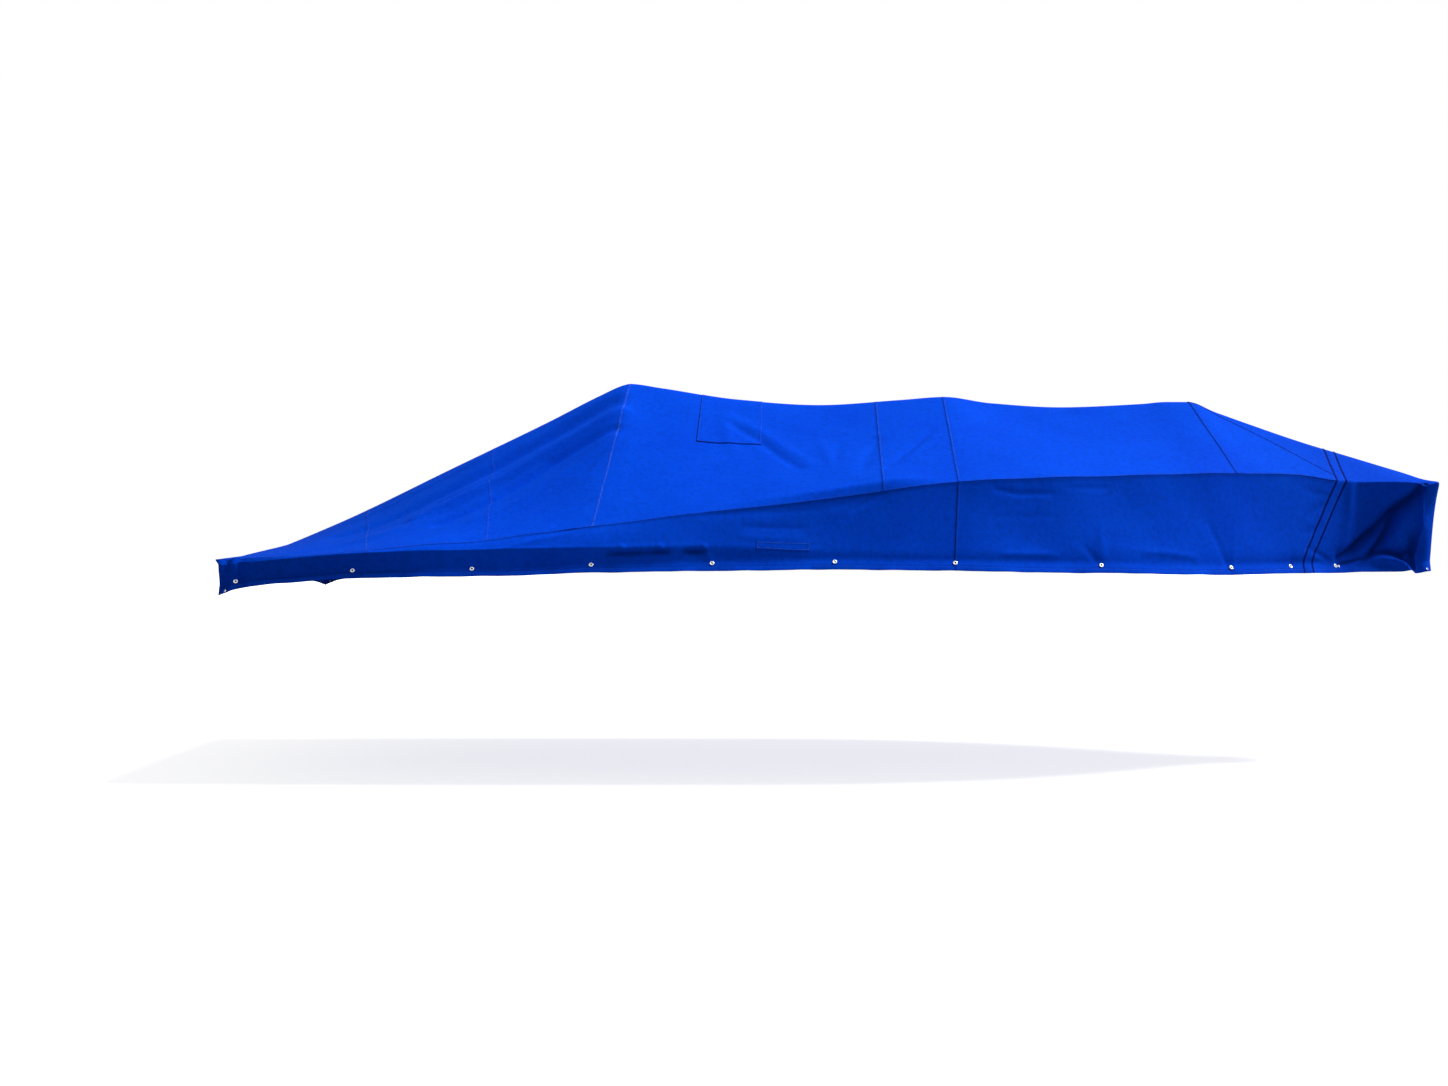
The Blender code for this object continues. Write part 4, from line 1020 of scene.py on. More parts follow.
def swept_tape(name, seam):
    line = np.asarray(seam, float)[None, :]
    rows = even_rows(line, -HEM_ROW, HEM_ROW, TAPE_STEP)
    cloth = folded_cloth(line, rows)
    middle, out = cloth.points[0], cloth.out[0]
    across = unit(np.cross(unit(np.gradient(middle, axis=0)), out))
    ring = np.array(TAPE_SECTION)
    points = middle[:, None] + across[:, None] * ring[None, :, :1] + out[:, None] * ring[None, :, 1:]
    count = len(ring)
    faces = [
        (k + c, k + count + c, k + count + (c + 1) % count, k + (c + 1) % count)
        for k in range(0, (len(middle) - 1) * count, count) for c in range(count)
    ]
    last = (len(middle) - 1) * count
    faces += [tuple(range(count)), tuple(range(last, last + count))[::-1]]
    run = run_along(middle)
    flat = np.stack(np.broadcast_arrays(ring[None, :, 0], run[:, None]), axis=-1)
    piece = add_piece(name + "_tape", points, faces, flat, np.zeros(points.shape[:2]))
    shape = bmesh.new()
    shape.from_mesh(piece.data)
    bmesh.ops.recalc_face_normals(shape, faces=shape.faces)
    shape.to_mesh(piece.data)
    shape.free()
    return piece, float(run[-1])


bindings, tape_lengths = {}, {}
for name in ("aft_binding", "fore_binding"):
    piece_name = "binding_" + name.split("_")[0]
    bindings[piece_name], tape_lengths[piece_name] = swept_tape(piece_name, SEAMS[name])
print("tape lengths:", {name: round(length, 3) for name, length in tape_lengths.items()})

# %% [markdown]
# ## Snap fasteners
#
# A snap is a turned part: a pressed cap with a rounded rim and a dished middle, a barrel through the
# cloth and a socket behind it. One profile turned round an axis makes the form. A Geometry Nodes tree
# then sets a copy at each place along the hem, with its axis square on the cloth there.

# %% Snap form
SNAP_TURNS = 24
PAINTED_DISH_RADIUS = 0.0060
SNAP_PROFILE = (
    (0.0028, 0.0008), (0.0042, 0.0012), (0.0050, 0.0030), (0.0064, 0.0043), (0.0085, 0.0046),
    (0.0104, 0.0040), (0.0119, 0.0026), (0.0125, 0.0012), (0.0122, 0.0005), (0.0040, 0.0005),
    (0.0040, -0.0024),
    (0.0073, -0.0024), (0.0077, -0.0030), (0.0077, -0.0064), (0.0072, -0.0071), (0.0058, -0.0072),
    (0.0054, -0.0060), (0.0052, -0.0042),
)


def turned_form(name, profile, turns):
    """A closed body turned round the Z axis, from the middle of its face to the middle of its back."""
    mesh = bmesh.new()
    angles = [2 * math.pi * k / turns for k in range(turns)]
    rings = [[mesh.verts.new((r * math.cos(a), r * math.sin(a), z)) for a in angles] for r, z in profile]
    for front, back in zip(rings, rings[1:]):
        for k in range(turns):
            after = (k + 1) % turns
            mesh.faces.new((front[k], back[k], back[after], front[after]))
    mesh.faces.new(rings[0])
    mesh.faces.new(rings[-1][::-1])
    data = bpy.data.meshes.new(name)
    mesh.to_mesh(data)
    mesh.free()
    data.shade_smooth()
    # The dished middle is marked to be painted dark in the nickel finish, a painted reflection.
    middle = [float(vert.co.z > 0.0 and math.hypot(*vert.co.xy) < PAINTED_DISH_RADIUS) for vert in data.vertices]
    data.attributes.new("dark", "FLOAT", "POINT").data.foreach_set("value", middle)
    return bpy.data.objects.new(name, data)


snap_form = turned_form("snap_form", SNAP_PROFILE, SNAP_TURNS)
print("snap form:", len(snap_form.data.polygons), "faces")

# %% [markdown]
# ### Where the snaps sit
#
# Most stand on the flat strip above the hem, 40 mm above its edge, and three smaller ones nearer to
# it. A place along the hem gives the line, and the height gives the row.

# %% Snap places
SNAP_RISE, LOW_RISE, SMALL_SNAP = 0.040, 0.0125, 0.56
SNAP_ROW = 4 + (BAND_TOP - SNAP_RISE) / (BAND_TOP - BAND_BOTTOM)
LOW_ROW = 5 + (BAND_BOTTOM - LOW_RISE) / BAND_BOTTOM
SNAP_SIZES = np.where(np.isin(SNAP_PLACES, (STERN_SNAP, NOSE_SNAP)), SMALL_SNAP, 1.0)
SEAT, FRONT_SEAT = 0.0004, 0.0006       # how far a snap's middle stands off the cloth
FRONT_COLUMN = 1.5                      # where on the front its two snaps stand
BESIDE = np.array([-1, 0, 1])
LINE_ORDER = (
    "stern", "low_join", "high_join", "aft_peak", "patch_aft", "patch_fore", "low_patch_fore", "insert_aft",
    "insert_fore", "fore_peak", "aft_binding", "fore_binding", "nose_corner",
)
LINE_TABLE = np.array([SEAMS[name] for name in LINE_ORDER])


def line_at_hem(hem_x):
    """The line across the cover that meets the hem at hem_x."""
    return np.stack([np.interp(hem_x, LINE_TABLE[:, 2], LINE_TABLE[:, k]) for k in range(3)], axis=-1)


places, ways, forwards, sizes = [], [], [], []
for sign in (-1.0, 1.0):
    lines = line_at_hem(SNAP_PLACES)
    rows = np.where(SNAP_PLACES == STERN_SNAP, LOW_ROW, SNAP_ROW)[:, None] * sign
    seat = folded_cloth(lines, rows, SEAT)
    ahead = folded_cloth(lines + 0.01, rows).points - folded_cloth(lines - 0.01, rows).points
    places.extend(seat.points[:, 0])
    ways.extend(seat.out[:, 0])
    forwards.extend(unit(ahead[:, 0]))
    sizes.extend(SNAP_SIZES)
    corner = front_places(FRONT_COLUMN + 0.2 * BESIDE, LOW_ROW + 0.3 * BESIDE)
    corner[..., 1] *= -sign
    along, downward = unit(corner[2, 1] - corner[0, 1]), unit(corner[1, 2] - corner[1, 0])
    way = unit(np.cross(along, downward))
    way = -way if way[0] < 0 else way
    places.append(corner[1, 1] + way * FRONT_SEAT)
    ways.append(way)
    forwards.append(along)
    sizes.append(SMALL_SNAP)
print("snaps:", len(places))

# %% [markdown]
# ### Trees that set copies
#
# Both trees end alike: Realize Instances makes real faces of the copies, and Set Material gives them
# their finish. An instance takes its direction from two arrows that travel with each point: the way
# out of the cloth, and the way along the hem or the seam.

# %% Node helpers
def fill(tree, node, inputs):
    """Fill a node's inputs, with sockets of other nodes or with plain values."""
    for name, value in inputs.items():
        if isinstance(value, bpy.types.NodeSocket):
            tree.links.new(value, node.inputs[name])
        else:
            node.inputs[name].default_value = value


def add_node(tree, kind, inputs=None, **settings):
    node = tree.nodes.new(kind)
    for name, value in settings.items():
        setattr(node, name, value)
    fill(tree, node, inputs or {})
    return node


def new_tree(kind, name, inputs, outputs):
    """A node group with named sockets: each is a name, a kind and perhaps a default value."""
    tree = bpy.data.node_groups.new(name, kind)
    for direction, sockets in (("INPUT", inputs), ("OUTPUT", outputs)):
        for label, socket_kind, *default in sockets:
            whole_kind = "NodeSocket" + socket_kind
            socket = tree.interface.new_socket(label, in_out=direction, socket_type=whole_kind)
            if default:
                socket.default_value = default[0]
    return tree, tree.nodes.new("NodeGroupInput").outputs, tree.nodes.new("NodeGroupOutput")


def carried(tree, name, kind="FLOAT_VECTOR"):
    """An attribute that travels with each point."""
    return add_node(tree, "GeometryNodeInputNamedAttribute", {"Name": name}, data_type=kind).outputs[0]


def set_copies(tree, given, result, form_name, points, axes, arrows, **scale):
    """Copies of a form on points, with two of its axes along two arrows."""
    form = add_node(tree, "GeometryNodeObjectInfo", {"Object": given[form_name]})
    turn = add_node(
        tree, "FunctionNodeAxesToRotation", {"Primary Axis": arrows[0], "Secondary Axis": arrows[1]},
        primary_axis=axes[0], secondary_axis=axes[1])
    copies = add_node(tree, "GeometryNodeInstanceOnPoints", {
        "Points": points, "Instance": form.outputs["Geometry"], "Rotation": turn.outputs[0], **scale})
    real = add_node(tree, "GeometryNodeRealizeInstances", {"Geometry": copies.outputs[0]})
    dressed = add_node(
        tree, "GeometryNodeSetMaterial", {"Geometry": real.outputs[0], "Material": given["Material"]})
    tree.links.new(dressed.outputs[0], result.inputs[0])


def run_tree(name, source, tree, values, material):
    """Run a tree on a source mesh and keep the result as a plain mesh object."""
    carrier = add_object(name + "_points", source)
    modifier = carrier.modifiers.new("copies", "NODES")
    modifier.node_group = tree
    identifiers = {item.name: item.identifier for item in tree.interface.items_tree if item.in_out == "INPUT"}
    for label, value in {**values, "Material": material}.items():
        modifier[identifiers[label]] = value
    bpy.context.view_layer.update()
    graph = bpy.context.evaluated_depsgraph_get()
    result = bpy.data.meshes.new_from_object(carrier.evaluated_get(graph))
    result.name = name
    bpy.data.objects.remove(carrier)
    return add_object(name, result)

# %% Fastener tree
fastener_tree, given, result = new_tree(
    "GeometryNodeTree", "set_fasteners",
    (("Geometry", "Geometry"), ("Fastener", "Object"), ("Material", "Material")), (("Geometry", "Geometry"),))
arrows = carried(fastener_tree, "out"), carried(fastener_tree, "along")
size = carried(fastener_tree, "size", "FLOAT")
set_copies(fastener_tree, given, result, "Fastener", given["Geometry"], "ZX", arrows, Scale=size)
print("fastener tree:", len(fastener_tree.nodes), "nodes")

# %% Stitch tree
stitch_tree, given, result = new_tree(
    "GeometryNodeTree", "sew_along",
    (("Geometry", "Geometry"), ("Stitch", "Object"), ("Pitch", "Float", 0.005), ("Material", "Material")),
    (("Geometry", "Geometry"),))
path = add_node(stitch_tree, "GeometryNodeMeshToCurve", {"Mesh": given["Geometry"]})
spacing = {"Curve": path.outputs[0], "Length": given["Pitch"]}
even = add_node(stitch_tree, "GeometryNodeResampleCurve", spacing, mode="LENGTH")
arrows = add_node(stitch_tree, "GeometryNodeInputTangent").outputs[0], carried(stitch_tree, "out")
set_copies(stitch_tree, given, result, "Stitch", even.outputs[0], "XZ", arrows)
print("stitch tree:", len(stitch_tree.nodes), "nodes")

# %% [markdown]
# ## Finishes
#
# Acrylic canvas is dyed right through, so it keeps one blue, but it isn't even: the weave breaks up
# the light, the tops fade a little, and dirt gathers at the seams. Painted shade darkens the seam grooves,
# the deep folds and both ends of the cover. Effects that several finishes use are node groups, built
# once: the weave and the weathering, which also holds the painted shade of the ends. The seam dirt and
# the painted shade of seams and folds are an attribute of the cloth.

# %% Weave group
def maths(tree, operation, a, b=0.0):
    return add_node(tree, "ShaderNodeMath", {0: a, 1: b}, operation=operation).outputs[0]


def product(tree, a, b):
    return maths(tree, "MULTIPLY", a, b)


def total(tree, a, b):
    return maths(tree, "ADD", a, b)


def noise(tree, place, scale, detail, roughness=0.5, distortion=0.0):
    grain = {"Scale": scale, "Detail": detail, "Roughness": roughness, "Distortion": distortion}
    return add_node(tree, "ShaderNodeTexNoise", {"Vector": place, **grain}).outputs["Fac"]


def spread(tree, value, low, high, to_low, to_high, **settings):
    """A value's range from low to high, spread over another range."""
    ends = {"From Min": low, "From Max": high, "To Min": to_low, "To Max": to_high}
    return add_node(tree, "ShaderNodeMapRange", {"Value": value, **ends}, **settings).outputs[0]


def thread_wave(tree, place, threads, shift):
    """Rounded threads that run one way: a sine of the place across them."""
    turn = product(tree, product(tree, place, threads), 2 * math.pi)
    return maths(tree, "SINE", total(tree, turn, shift))


weave, given, result = new_tree(
    "ShaderNodeTree", "weave", (("Place", "Vector"), ("Threads", "Float", 1100.0)),
    (("Height", "Float"), ("Tone", "Float")))
apart = add_node(weave, "ShaderNodeSeparateXYZ", {"Vector": given["Place"]}).outputs
warp = thread_wave(weave, apart["X"], given["Threads"], 0.0)
weft = thread_wave(weave, apart["Y"], given["Threads"], math.pi / 2)
height = total(weave, product(weave, product(weave, warp, weft), 0.5), 0.5)
uneven = noise(weave, given["Place"], 260.0, 2.0)
tone = total(weave, product(weave, uneven, 0.7), product(weave, height, 0.3))
fill(weave, result, {"Height": height, "Tone": tone})
print("weave:", len(weave.nodes), "nodes")

# %% Weathering group
weathering_and_shade, given, result = new_tree(
    "ShaderNodeTree", "weathering_and_shade", (("Place", "Vector"), ("Seam", "Float", 0.0)),
    (("Fade", "Float"), ("Dust", "Float"), ("Relief", "Float"), ("Soil", "Float")))
spot = given["Place"]
broad = noise(weathering_and_shade, spot, 1.7, 4.0, 0.55)
patchy = noise(weathering_and_shade, spot, 9.0, 5.0, 0.6)
fade = total(weathering_and_shade, product(weathering_and_shade, broad, 0.75), product(weathering_and_shade, patchy, 0.25))

facing = add_node(weathering_and_shade, "ShaderNodeNewGeometry").outputs["Normal"]
upward = add_node(weathering_and_shade, "ShaderNodeSeparateXYZ", {"Vector": facing}).outputs["Z"]
settle = spread(weathering_and_shade, upward, 0.2, 1.0, 0.15, 1.0)
dust = product(weathering_and_shade, maths(weathering_and_shade, "POWER", patchy, 2.5), settle)

pull = add_node(weathering_and_shade, "ShaderNodeMapping", {"Vector": spot, "Scale": (0.35, 1.0, 1.0)}).outputs[0]
pucker = product(weathering_and_shade, total(weathering_and_shade, given["Seam"], 0.18), noise(weathering_and_shade, spot, 30.0, 3.0))
loose = product(weathering_and_shade, noise(weathering_and_shade, pull, 13.0, 3.0, 0.55), 0.7)

# Painted shade: the cloth's colour darkens towards the stern end and towards the nose.
lengthwise = add_node(weathering_and_shade, "ShaderNodeSeparateXYZ", {"Vector": spot}).outputs["X"]
stern_painted_shade, nose_painted_shade = (
    spread(weathering_and_shade, lengthwise, *ends, interpolation_type="SMOOTHSTEP")
    for ends in ((-0.5, -1.8, 0.0, 1.0), (3.3, 4.1, 0.0, 0.55)))
mottle = spread(weathering_and_shade, noise(weathering_and_shade, spot, 42.0, 4.0, 0.65), 0.42, 0.72, 0.0, 0.75)
mottle_and_end_shade = total(weathering_and_shade, total(weathering_and_shade, stern_painted_shade, nose_painted_shade), mottle)
relief = total(weathering_and_shade, pucker, loose)
fill(weathering_and_shade, result, {"Fade": fade, "Dust": dust, "Relief": relief, "Soil": mottle_and_end_shade})
print("weathering:", len(weathering_and_shade.nodes), "nodes")

# %% [markdown]
# ### Cloth finishes
#
# One function makes canvas, tape and thread: they differ in colour, thread count and gloss. The weave
# follows the flat map, in metres, so that it runs with the cut of the cloth, and the weathering
# follows the object's own coordinates, so that it passes over the seams.

# %% Cloth finishes
def colour_mix(tree, amount, first, second):
    mix = add_node(tree, "ShaderNodeMix", data_type="RGBA")
    fill(tree, mix, {0: amount, 6: first, 7: second})
    return mix.outputs[2]


def bump(tree, height, strength, distance, **normal):
    relief = {"Height": height, "Strength": strength, "Distance": distance, **normal}
    return add_node(tree, "ShaderNodeBump", relief).outputs[0]


def new_finish(name):
    """A material, its tree, its shader and the place in the object's own coordinates."""
    material = bpy.data.materials.new(name)
    material.use_nodes = True
    tree = material.node_tree
    place = add_node(tree, "ShaderNodeTexCoord").outputs["Object"]
    return material, tree, tree.nodes["Principled BSDF"], place


def cloth_finish(name, colour, faded, threads, relief, roughness):
    """Woven cloth, weathered. Colours are linear."""
    material, tree, shader, place = new_finish(name)
    flat = add_node(tree, "ShaderNodeUVMap", uv_map="flat").outputs[0]
    # The dark attribute: seam dirt, and painted shade in seam grooves and deep folds.
    seam = add_node(tree, "ShaderNodeAttribute", attribute_name="dark").outputs["Fac"]
    woven = add_node(tree, "ShaderNodeGroup", node_tree=weave)
    fill(tree, woven, {"Place": flat, "Threads": threads})
    weather_and_shade = add_node(tree, "ShaderNodeGroup", node_tree=weathering_and_shade)
    fill(tree, weather_and_shade, {"Place": place, "Seam": seam})
    woven, weather_and_shade = woven.outputs, weather_and_shade.outputs
    base = colour_mix(tree, spread(tree, weather_and_shade["Fade"], 0.35, 0.65, 0.0, 1.0), (*colour, 1), (*faded, 1))
    # Each mask darkens or dusts the colour: mottle with painted shade at both ends, weave tone, seam dirt
    # with painted shade, and dust.
    for wear_and_shade_mask, share, shade in (
        (weather_and_shade["Soil"], 0.34, (0.0, 0.02, 0.18, 1)), (woven["Tone"], 0.22, (0, 0, 0, 1)),
        (seam, 0.72, (0.0, 0.006, 0.06, 1)), (weather_and_shade["Dust"], 0.05, (0.012, 0.16, 0.85, 1)),
    ):
        base = colour_mix(tree, product(tree, wear_and_shade_mask, share), base, shade)
    unevenness = bump(tree, weather_and_shade["Relief"], 0.35, 0.006)
    fill(tree, shader, {
        "Base Color": base,
        "Roughness": spread(tree, weather_and_shade["Fade"], 0.0, 1.0, roughness - 0.08, roughness + 0.1),
        "Normal": bump(tree, woven["Height"], relief, 0.00025, Normal=unevenness),
        "Specular IOR Level": 0.02, "Specular Tint": (0.05, 0.30, 1.0, 1.0),
        "Sheen Weight": 0.04, "Sheen Roughness": 0.5, "Sheen Tint": (0.02, 0.25, 1.0, 1.0),
    })
    return material


canvas = cloth_finish("canvas", (0.0004, 0.068, 0.84), (0.0008, 0.084, 0.92), 900.0, 0.5, 0.80)
tape = cloth_finish("binding_tape", (0.0005, 0.004, 0.16), (0.001, 0.006, 0.20), 1400.0, 0.7, 0.72)
print("cloth finishes:", canvas.name, tape.name)

# %% [markdown]
# ### Thread and nickel
#
# Polyester thread is twisted, so a fine wave along it catches the light. The snaps are nickel over
# brass: bright, with fine scratches and duller spots where the plating has aged.

# %% Thread and nickel
def thread_finish(name, colour):
    material, tree, shader, place = new_finish(name)
    twist = noise(tree, place, 900.0, 1.0)
    shade = colour_mix(tree, product(tree, twist, 0.5), (*colour, 1), (0, 0, 0, 1))
    fill(tree, shader, {"Base Color": shade, "Normal": bump(tree, twist, 0.4, 0.0002), "Roughness": 0.55})
    return material


blue_thread = thread_finish("blue_thread", (0.030, 0.17, 0.95))
pale_thread = thread_finish("pale_thread", (0.22, 0.45, 1.00))

nickel, tree, shader, place = new_finish("nickel")
ageing = noise(tree, place, 220.0, 5.0, 0.65)
scratches = noise(tree, place, 1500.0, 2.0, distortion=3.0)
metal = colour_mix(tree, ageing, (0.97, 0.97, 0.97, 1), (0.78, 0.79, 0.80, 1))
# Painted reflection: the dished middle is painted near black for the dark it would mirror.
painted_dish_reflection = add_node(tree, "ShaderNodeAttribute", attribute_name="dark").outputs["Fac"]
fill(tree, shader, {
    "Base Color": colour_mix(tree, painted_dish_reflection, metal, (0.05, 0.055, 0.06, 1)),
    "Roughness": spread(tree, ageing, 0.3, 0.7, 0.26, 0.48),
    "Normal": bump(tree, scratches, 0.25, 0.0001), "Metallic": 1.0,
})
print("materials:", [material.name for material in bpy.data.materials if material.users])

# %% [markdown]
# ## Set the snaps
#
# The places, arrows and sizes go on the points of a small mesh, and the tree does the rest.

# %% Snaps


def arrow_mesh(name, points, out, edges=(), along=None, sizes=None):
    """Points that carry the arrows and sizes that the trees read."""
    data = bpy.data.meshes.new(name)
    data.from_pydata(np.asarray(points).tolist(), edges, [])
    for label, arrows in (("out", out), ("along", along)):
        if arrows is not None:
            attribute = data.attributes.new(label, "FLOAT_VECTOR", "POINT")
            attribute.data.foreach_set("vector", np.asarray(arrows).ravel())
    if sizes is not None:
        data.attributes.new("size", "FLOAT", "POINT").data.foreach_set("value", np.asarray(sizes, float))
    return data


snap_points = arrow_mesh("snap_points", places, ways, (), forwards, sizes)
snaps = run_tree("snaps", snap_points, fastener_tree, {"Fastener": snap_form}, nickel)
snaps.data.shade_smooth()
snaps.data.set_sharp_from_angle(angle=math.radians(50))
print("snaps:", len(snaps.data.polygons), "faces")

# %% [markdown]
# ## Sew the seams
#
# Each row of stitches is a path on the cloth: a line a few millimetres from a seam, a hem or a
# patch's edge. The tree spaces the stitches evenly along it. One stitch is a stretched octahedron:
# eight faces are enough for a thread that is less than a millimetre thick, and there are thousands.

# %% Stitch paths
STITCH_LENGTH, STITCH_WIDTH, STITCH_HEIGHT = 0.0036, 0.0010, 0.0006
STITCH_PITCH = 0.0050
LAP_STITCHES = (0.0032, 0.0092)
LAP_RISE = 0.0010
PATH_STEP = 0.02
SEAM_END = 1.93             # a seam's stitches stop before the long seam
BELOW_SEAM = (2.05, 5.95)   # and start again below it
HEM_AWAY, HEM_RISE = 0.0235, 0.0005
TAPE_AWAY, TAPE_END, TAPE_RISE = -0.016, 5.98, 0.0001
PATCH_INSET, PATCH_STEPS = 0.0085, 22
stitch_data = bpy.data.meshes.new("stitch_form")
half = np.diag((STITCH_LENGTH / 2, STITCH_WIDTH / 2, STITCH_HEIGHT / 2))
tips = [(sign * half[axis]).tolist() for axis in range(3) for sign in (-1, 1)]
stitch_faces = [(a, b, c) if (a + b + c) % 2 else (a, c, b) for a in (0, 1) for b in (2, 3) for c in (4, 5)]
stitch_data.from_pydata(tips, [], stitch_faces)
stitch_form = bpy.data.objects.new("stitch_form", stitch_data)


def across_path(seam, shift, low, high, rise):
    """A path across the cover, a little forward of a seam, between two signed rows."""
    line = np.asarray(seam, float)[None, :] + shift
    cloth = folded_cloth(line, even_rows(line, low, high, PATH_STEP), rise)
    return cloth.points[0], cloth.out[0]


def between(start, end, share):
    """The line at a share of the way from one seam to another."""
    start = np.asarray(start, float)
    return start + np.asarray(share)[:, None] * (np.asarray(end) - start)


def along_path(start, end, row, away, rise):
    """A path along the cover, between two seams, a distance away from a row towards the ridge."""
    length = (np.asarray(end, float) - np.asarray(start, float)).mean()
    lines = between(start, end, np.linspace(0, 1, max(round(length / PATH_STEP), 2) + 1))
    q = np.broadcast_to(row(lines) if callable(row) else row, (len(lines), 1))
    toward = -np.sign(away) * np.sign(q[0, 0])
    q = q + toward * abs(away) / metres_per_row(lines, q, toward)
    cloth = folded_cloth(lines, q, rise)
    return cloth.points[:, 0], cloth.out[:, 0]


seam_names = ("low_join", "high_join", "insert_aft", "insert_fore", "fore_peak")
long_seam_names = LINE_ORDER[1:11]
blue_paths, pale_paths, hem_paths = [], [], []
for away in LAP_STITCHES:
    for name in seam_names:
        blue_paths.append(across_path(SEAMS[name], away, -SEAM_END, SEAM_END, LAP_RISE))
    pale_paths.append(across_path(SEAMS["aft_peak"], away, -SEAM_END, SEAM_END, LAP_RISE))
    for sign in (-1, 1):
        rows = sorted(sign * row for row in BELOW_SEAM)
        blue_paths.append(across_path(SEAMS["insert_fore"], away, *rows, LAP_RISE))
        blue_paths.append(along_path(SEAMS["stern"], SEAMS["low_join"], sign * LONG, away, LAP_RISE))
        for start, end in zip(long_seam_names, long_seam_names[1:]):
            blue_paths.append(along_path(SEAMS[start], SEAMS[end], sign * LONG, away, LAP_RISE))
    for row in (gusset_row, starboard_gusset_row):
        blue_paths.append(along_path(*bay, row, away, LAP_RISE))
for sign in (-1, 1):
    for start, end in zip(LINE_ORDER, LINE_ORDER[1:]):
        hem_paths.append(along_path(SEAMS[start], SEAMS[end], sign * HEM_ROW, HEM_AWAY, HEM_RISE))
for name in ("aft_binding", "fore_binding"):
    hem_paths.append(across_path(SEAMS[name], TAPE_AWAY, -TAPE_END, TAPE_END, TAPE_RISE))
hem_paths.append((front[:, -3] + front_out[:, -3] * TAPE_RISE, front_out[:, -3]))
print("paths:", len(blue_paths) + len(pale_paths) + len(hem_paths))


def patch_path(start, end, low, high, inset, rise):
    """A closed path just inside a patch's edges."""
    start, end = np.add(start, inset), np.subtract(end, inset)
    corners = np.array([start, end])
    low, high = (
        q + toward * inset / metres_per_row(corners, np.full((2, 1), q), toward).mean()
        for q, toward in ((low, 1), (high, -1)))
    aft = across_path(start, 0.0, low, high, rise)
    fore = across_path(end, 0.0, low, high, rise)
    lines = between(start, end, np.linspace(0, 1, PATCH_STEPS))
    upper, lower = (folded_cloth(lines, np.full((PATCH_STEPS, 1), q), rise) for q in (high, low))
    points = np.concatenate((aft[0], upper.points[1:-1, 0], fore[0][::-1], lower.points[::-1, 0]))
    out = np.concatenate((aft[1], upper.out[1:-1, 0], fore[1][::-1], lower.out[::-1, 0]))
    return points, out


patch_rise = PATCH_LIFT + 0.0007
for paths, (aft, fore, rows, styles) in zip((blue_paths, pale_paths), PATCHES.values()):
    paths.append(patch_path(SEAMS[aft], SEAMS[fore], *rows, PATCH_INSET, patch_rise))


def sew(name, paths, material):
    """Stitches along several paths, as one piece."""
    points, out, edges = [], [], []
    for path_points, path_out in paths:
        start = len(points)
        points.extend(path_points)
        out.extend(path_out)
        edges.extend((k, k + 1) for k in range(start, len(points) - 1))
    source = arrow_mesh(name + "_paths", points, out, edges)
    piece = run_tree(name, source, stitch_tree, {"Stitch": stitch_form, "Pitch": STITCH_PITCH}, material)
    print(name, "triangles:", len(piece.data.polygons))
    return piece


stitches = [sew("stitches_seams", blue_paths, blue_thread), sew("stitches_hem", hem_paths, blue_thread)]
stitches.append(sew("stitches_pale", pale_paths, pale_thread))

# %% [markdown]
# ## Finish, and measure each piece
#
# Every panel is a sheet that stands stretched between its high points. Its flat size is the length
# and width of the piece that a canvas worker would cut, and its area is what the panel measures.

LEAST_FILLED = 0.35         # a cut that fills less of its rectangle is measured by its area
flat_sizes = {}


def flat_size(piece):
    """The flat cut's width, length and area, from the flat map and the outer faces."""
    mesh = piece.data
    corners = np.array([loop.uv[:] for loop in mesh.uv_layers["flat"].data])
    spans = corners.max(axis=0) - corners.min(axis=0)
    area = sum(face.area for face in mesh.polygons)
    return float(spans[0]), float(spans[1]), area


for name, piece in {**cloth_pieces, **patches}.items():
    piece.data.materials.append(canvas)
    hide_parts(name)
    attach(piece, "root")
    along, down, area = flat_size(piece)
    width, length = sorted((along, down))
    if not LEAST_FILLED * width * length < area < width * length:
        width = area / length
    min(area, width * length)
    flat_sizes[name] = rounded((width, length, area))
for name, piece in bindings.items():
    piece.data.materials.append(tape)
    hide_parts(name)
    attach(piece, "root")
for piece in stitches:
    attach(piece, "root")
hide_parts(*[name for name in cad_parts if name.startswith("snap_")])
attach(snaps, "root")
print(flat_sizes)

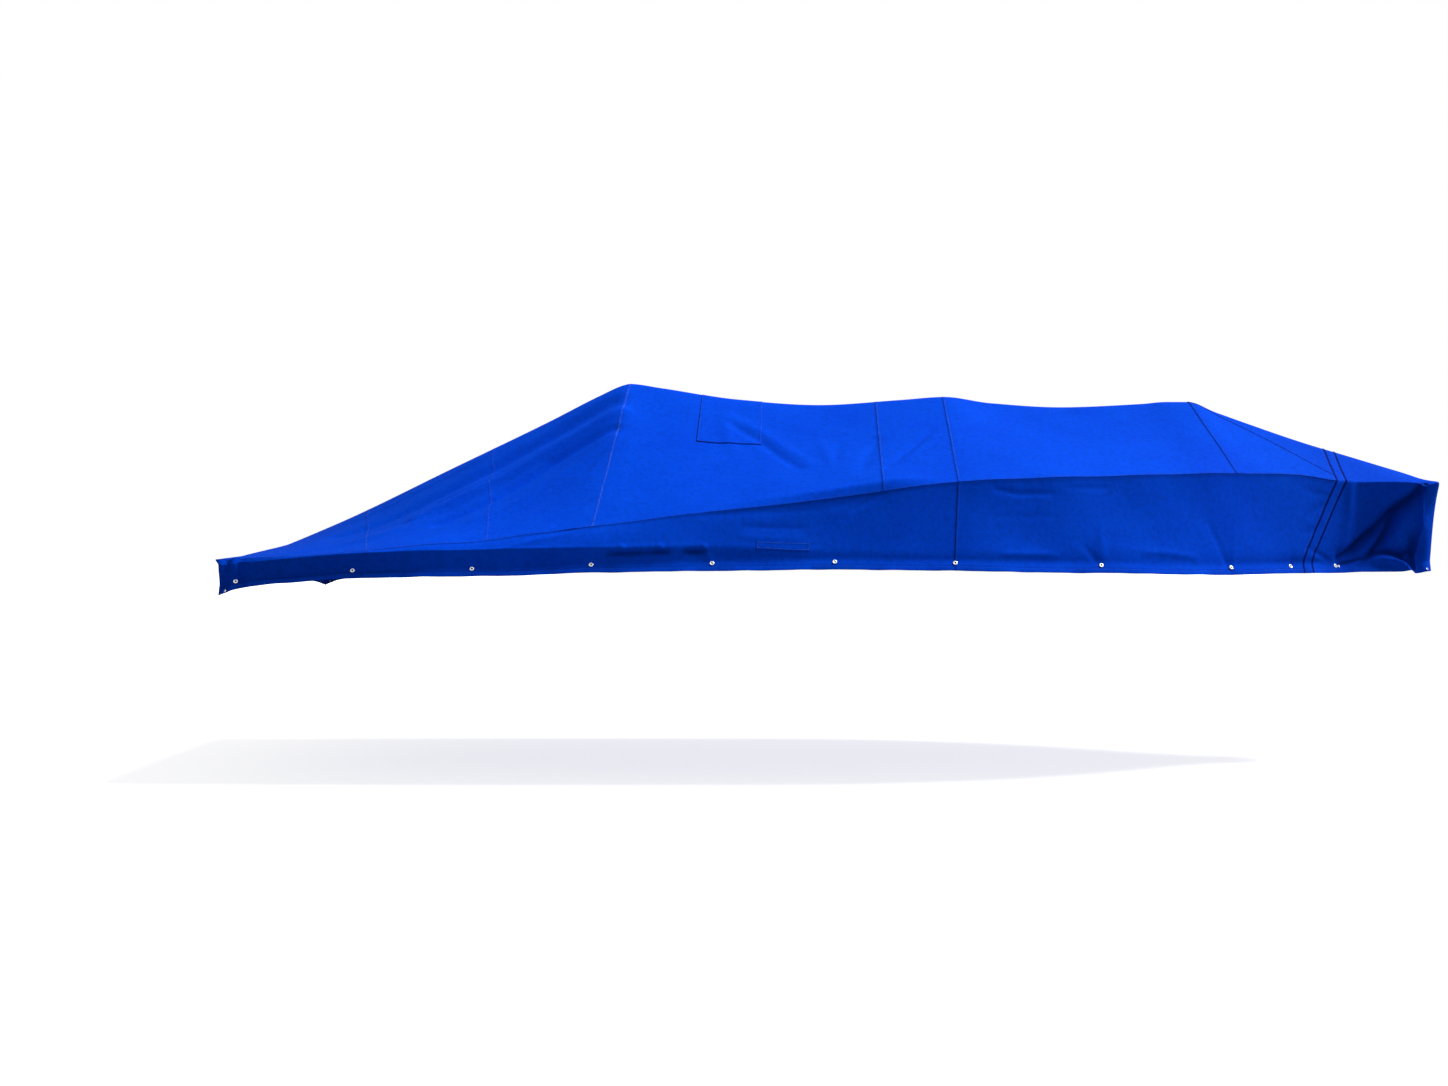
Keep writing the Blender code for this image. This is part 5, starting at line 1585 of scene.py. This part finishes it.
# %% [markdown]
# ## Floor and light
#
# A plain pale floor, a pale sky for fill, and one broad soft sun from above and ahead. The camera
# sees floor and sky brighter than the cloth does, so that the blue stays deep in the shade.

# %% Floor and light
FLOOR_Z = -2.2
floor_data = bpy.data.meshes.new("floor")
floor_corners = [(x, y, FLOOR_Z) for x, y in ((-60, -60), (60, -60), (60, 60), (-60, 60))]
floor_data.from_pydata(floor_corners, [], [(0, 1, 2, 3)])
floor = add_object("floor", floor_data)
floor_finish = bpy.data.materials.new("pale_floor")
floor_finish.use_nodes = True
tree = floor_finish.node_tree
shader = tree.nodes["Principled BSDF"]
seen = add_node(tree, "ShaderNodeLightPath").outputs["Is Camera Ray"]
fill(tree, shader, {
    "Base Color": colour_mix(tree, seen, (0.24, 0.24, 0.24, 1), (0.92, 0.92, 0.92, 1)),
    "Emission Strength": product(tree, seen, 0.72), "Emission Color": (1.0, 1.0, 1.0, 1.0), "Roughness": 0.9,
})
floor_data.materials.append(floor_finish)
floor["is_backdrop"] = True


def add_sun(name, towards, strength, angle):
    """A sun that shines from the given direction."""
    light = add_object(name, bpy.data.lights.new(name, "SUN"))
    light.data.energy = strength
    light.data.angle = angle
    light.rotation_euler = Vector(towards).to_track_quat("Z", "Y").to_euler()


add_sun("key", (0.58, 0.12, 0.81), 4.2, 0.36)

world = bpy.data.worlds.new("studio")
bpy.context.scene.world = world
world.use_nodes = True
tree = world.node_tree
background = tree.nodes["Background"]
paths = add_node(tree, "ShaderNodeLightPath").outputs
seen = maths(tree, "MAXIMUM", paths["Is Camera Ray"], product(tree, paths["Is Glossy Ray"], 0.9))
fill(tree, background, {"Strength": spread(tree, seen, 0.0, 1.0, 0.24, 1.0), "Color": (1.0, 1.0, 1.0, 1.0)})
bpy.context.scene.view_settings.view_transform = "Standard"
print("lights:", [thing.name for thing in bpy.context.scene.objects if thing.type == "LIGHT"])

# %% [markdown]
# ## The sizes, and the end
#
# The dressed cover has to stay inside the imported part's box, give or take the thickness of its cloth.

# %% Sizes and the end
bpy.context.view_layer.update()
print("visual box:", [rounded(corner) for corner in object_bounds()])
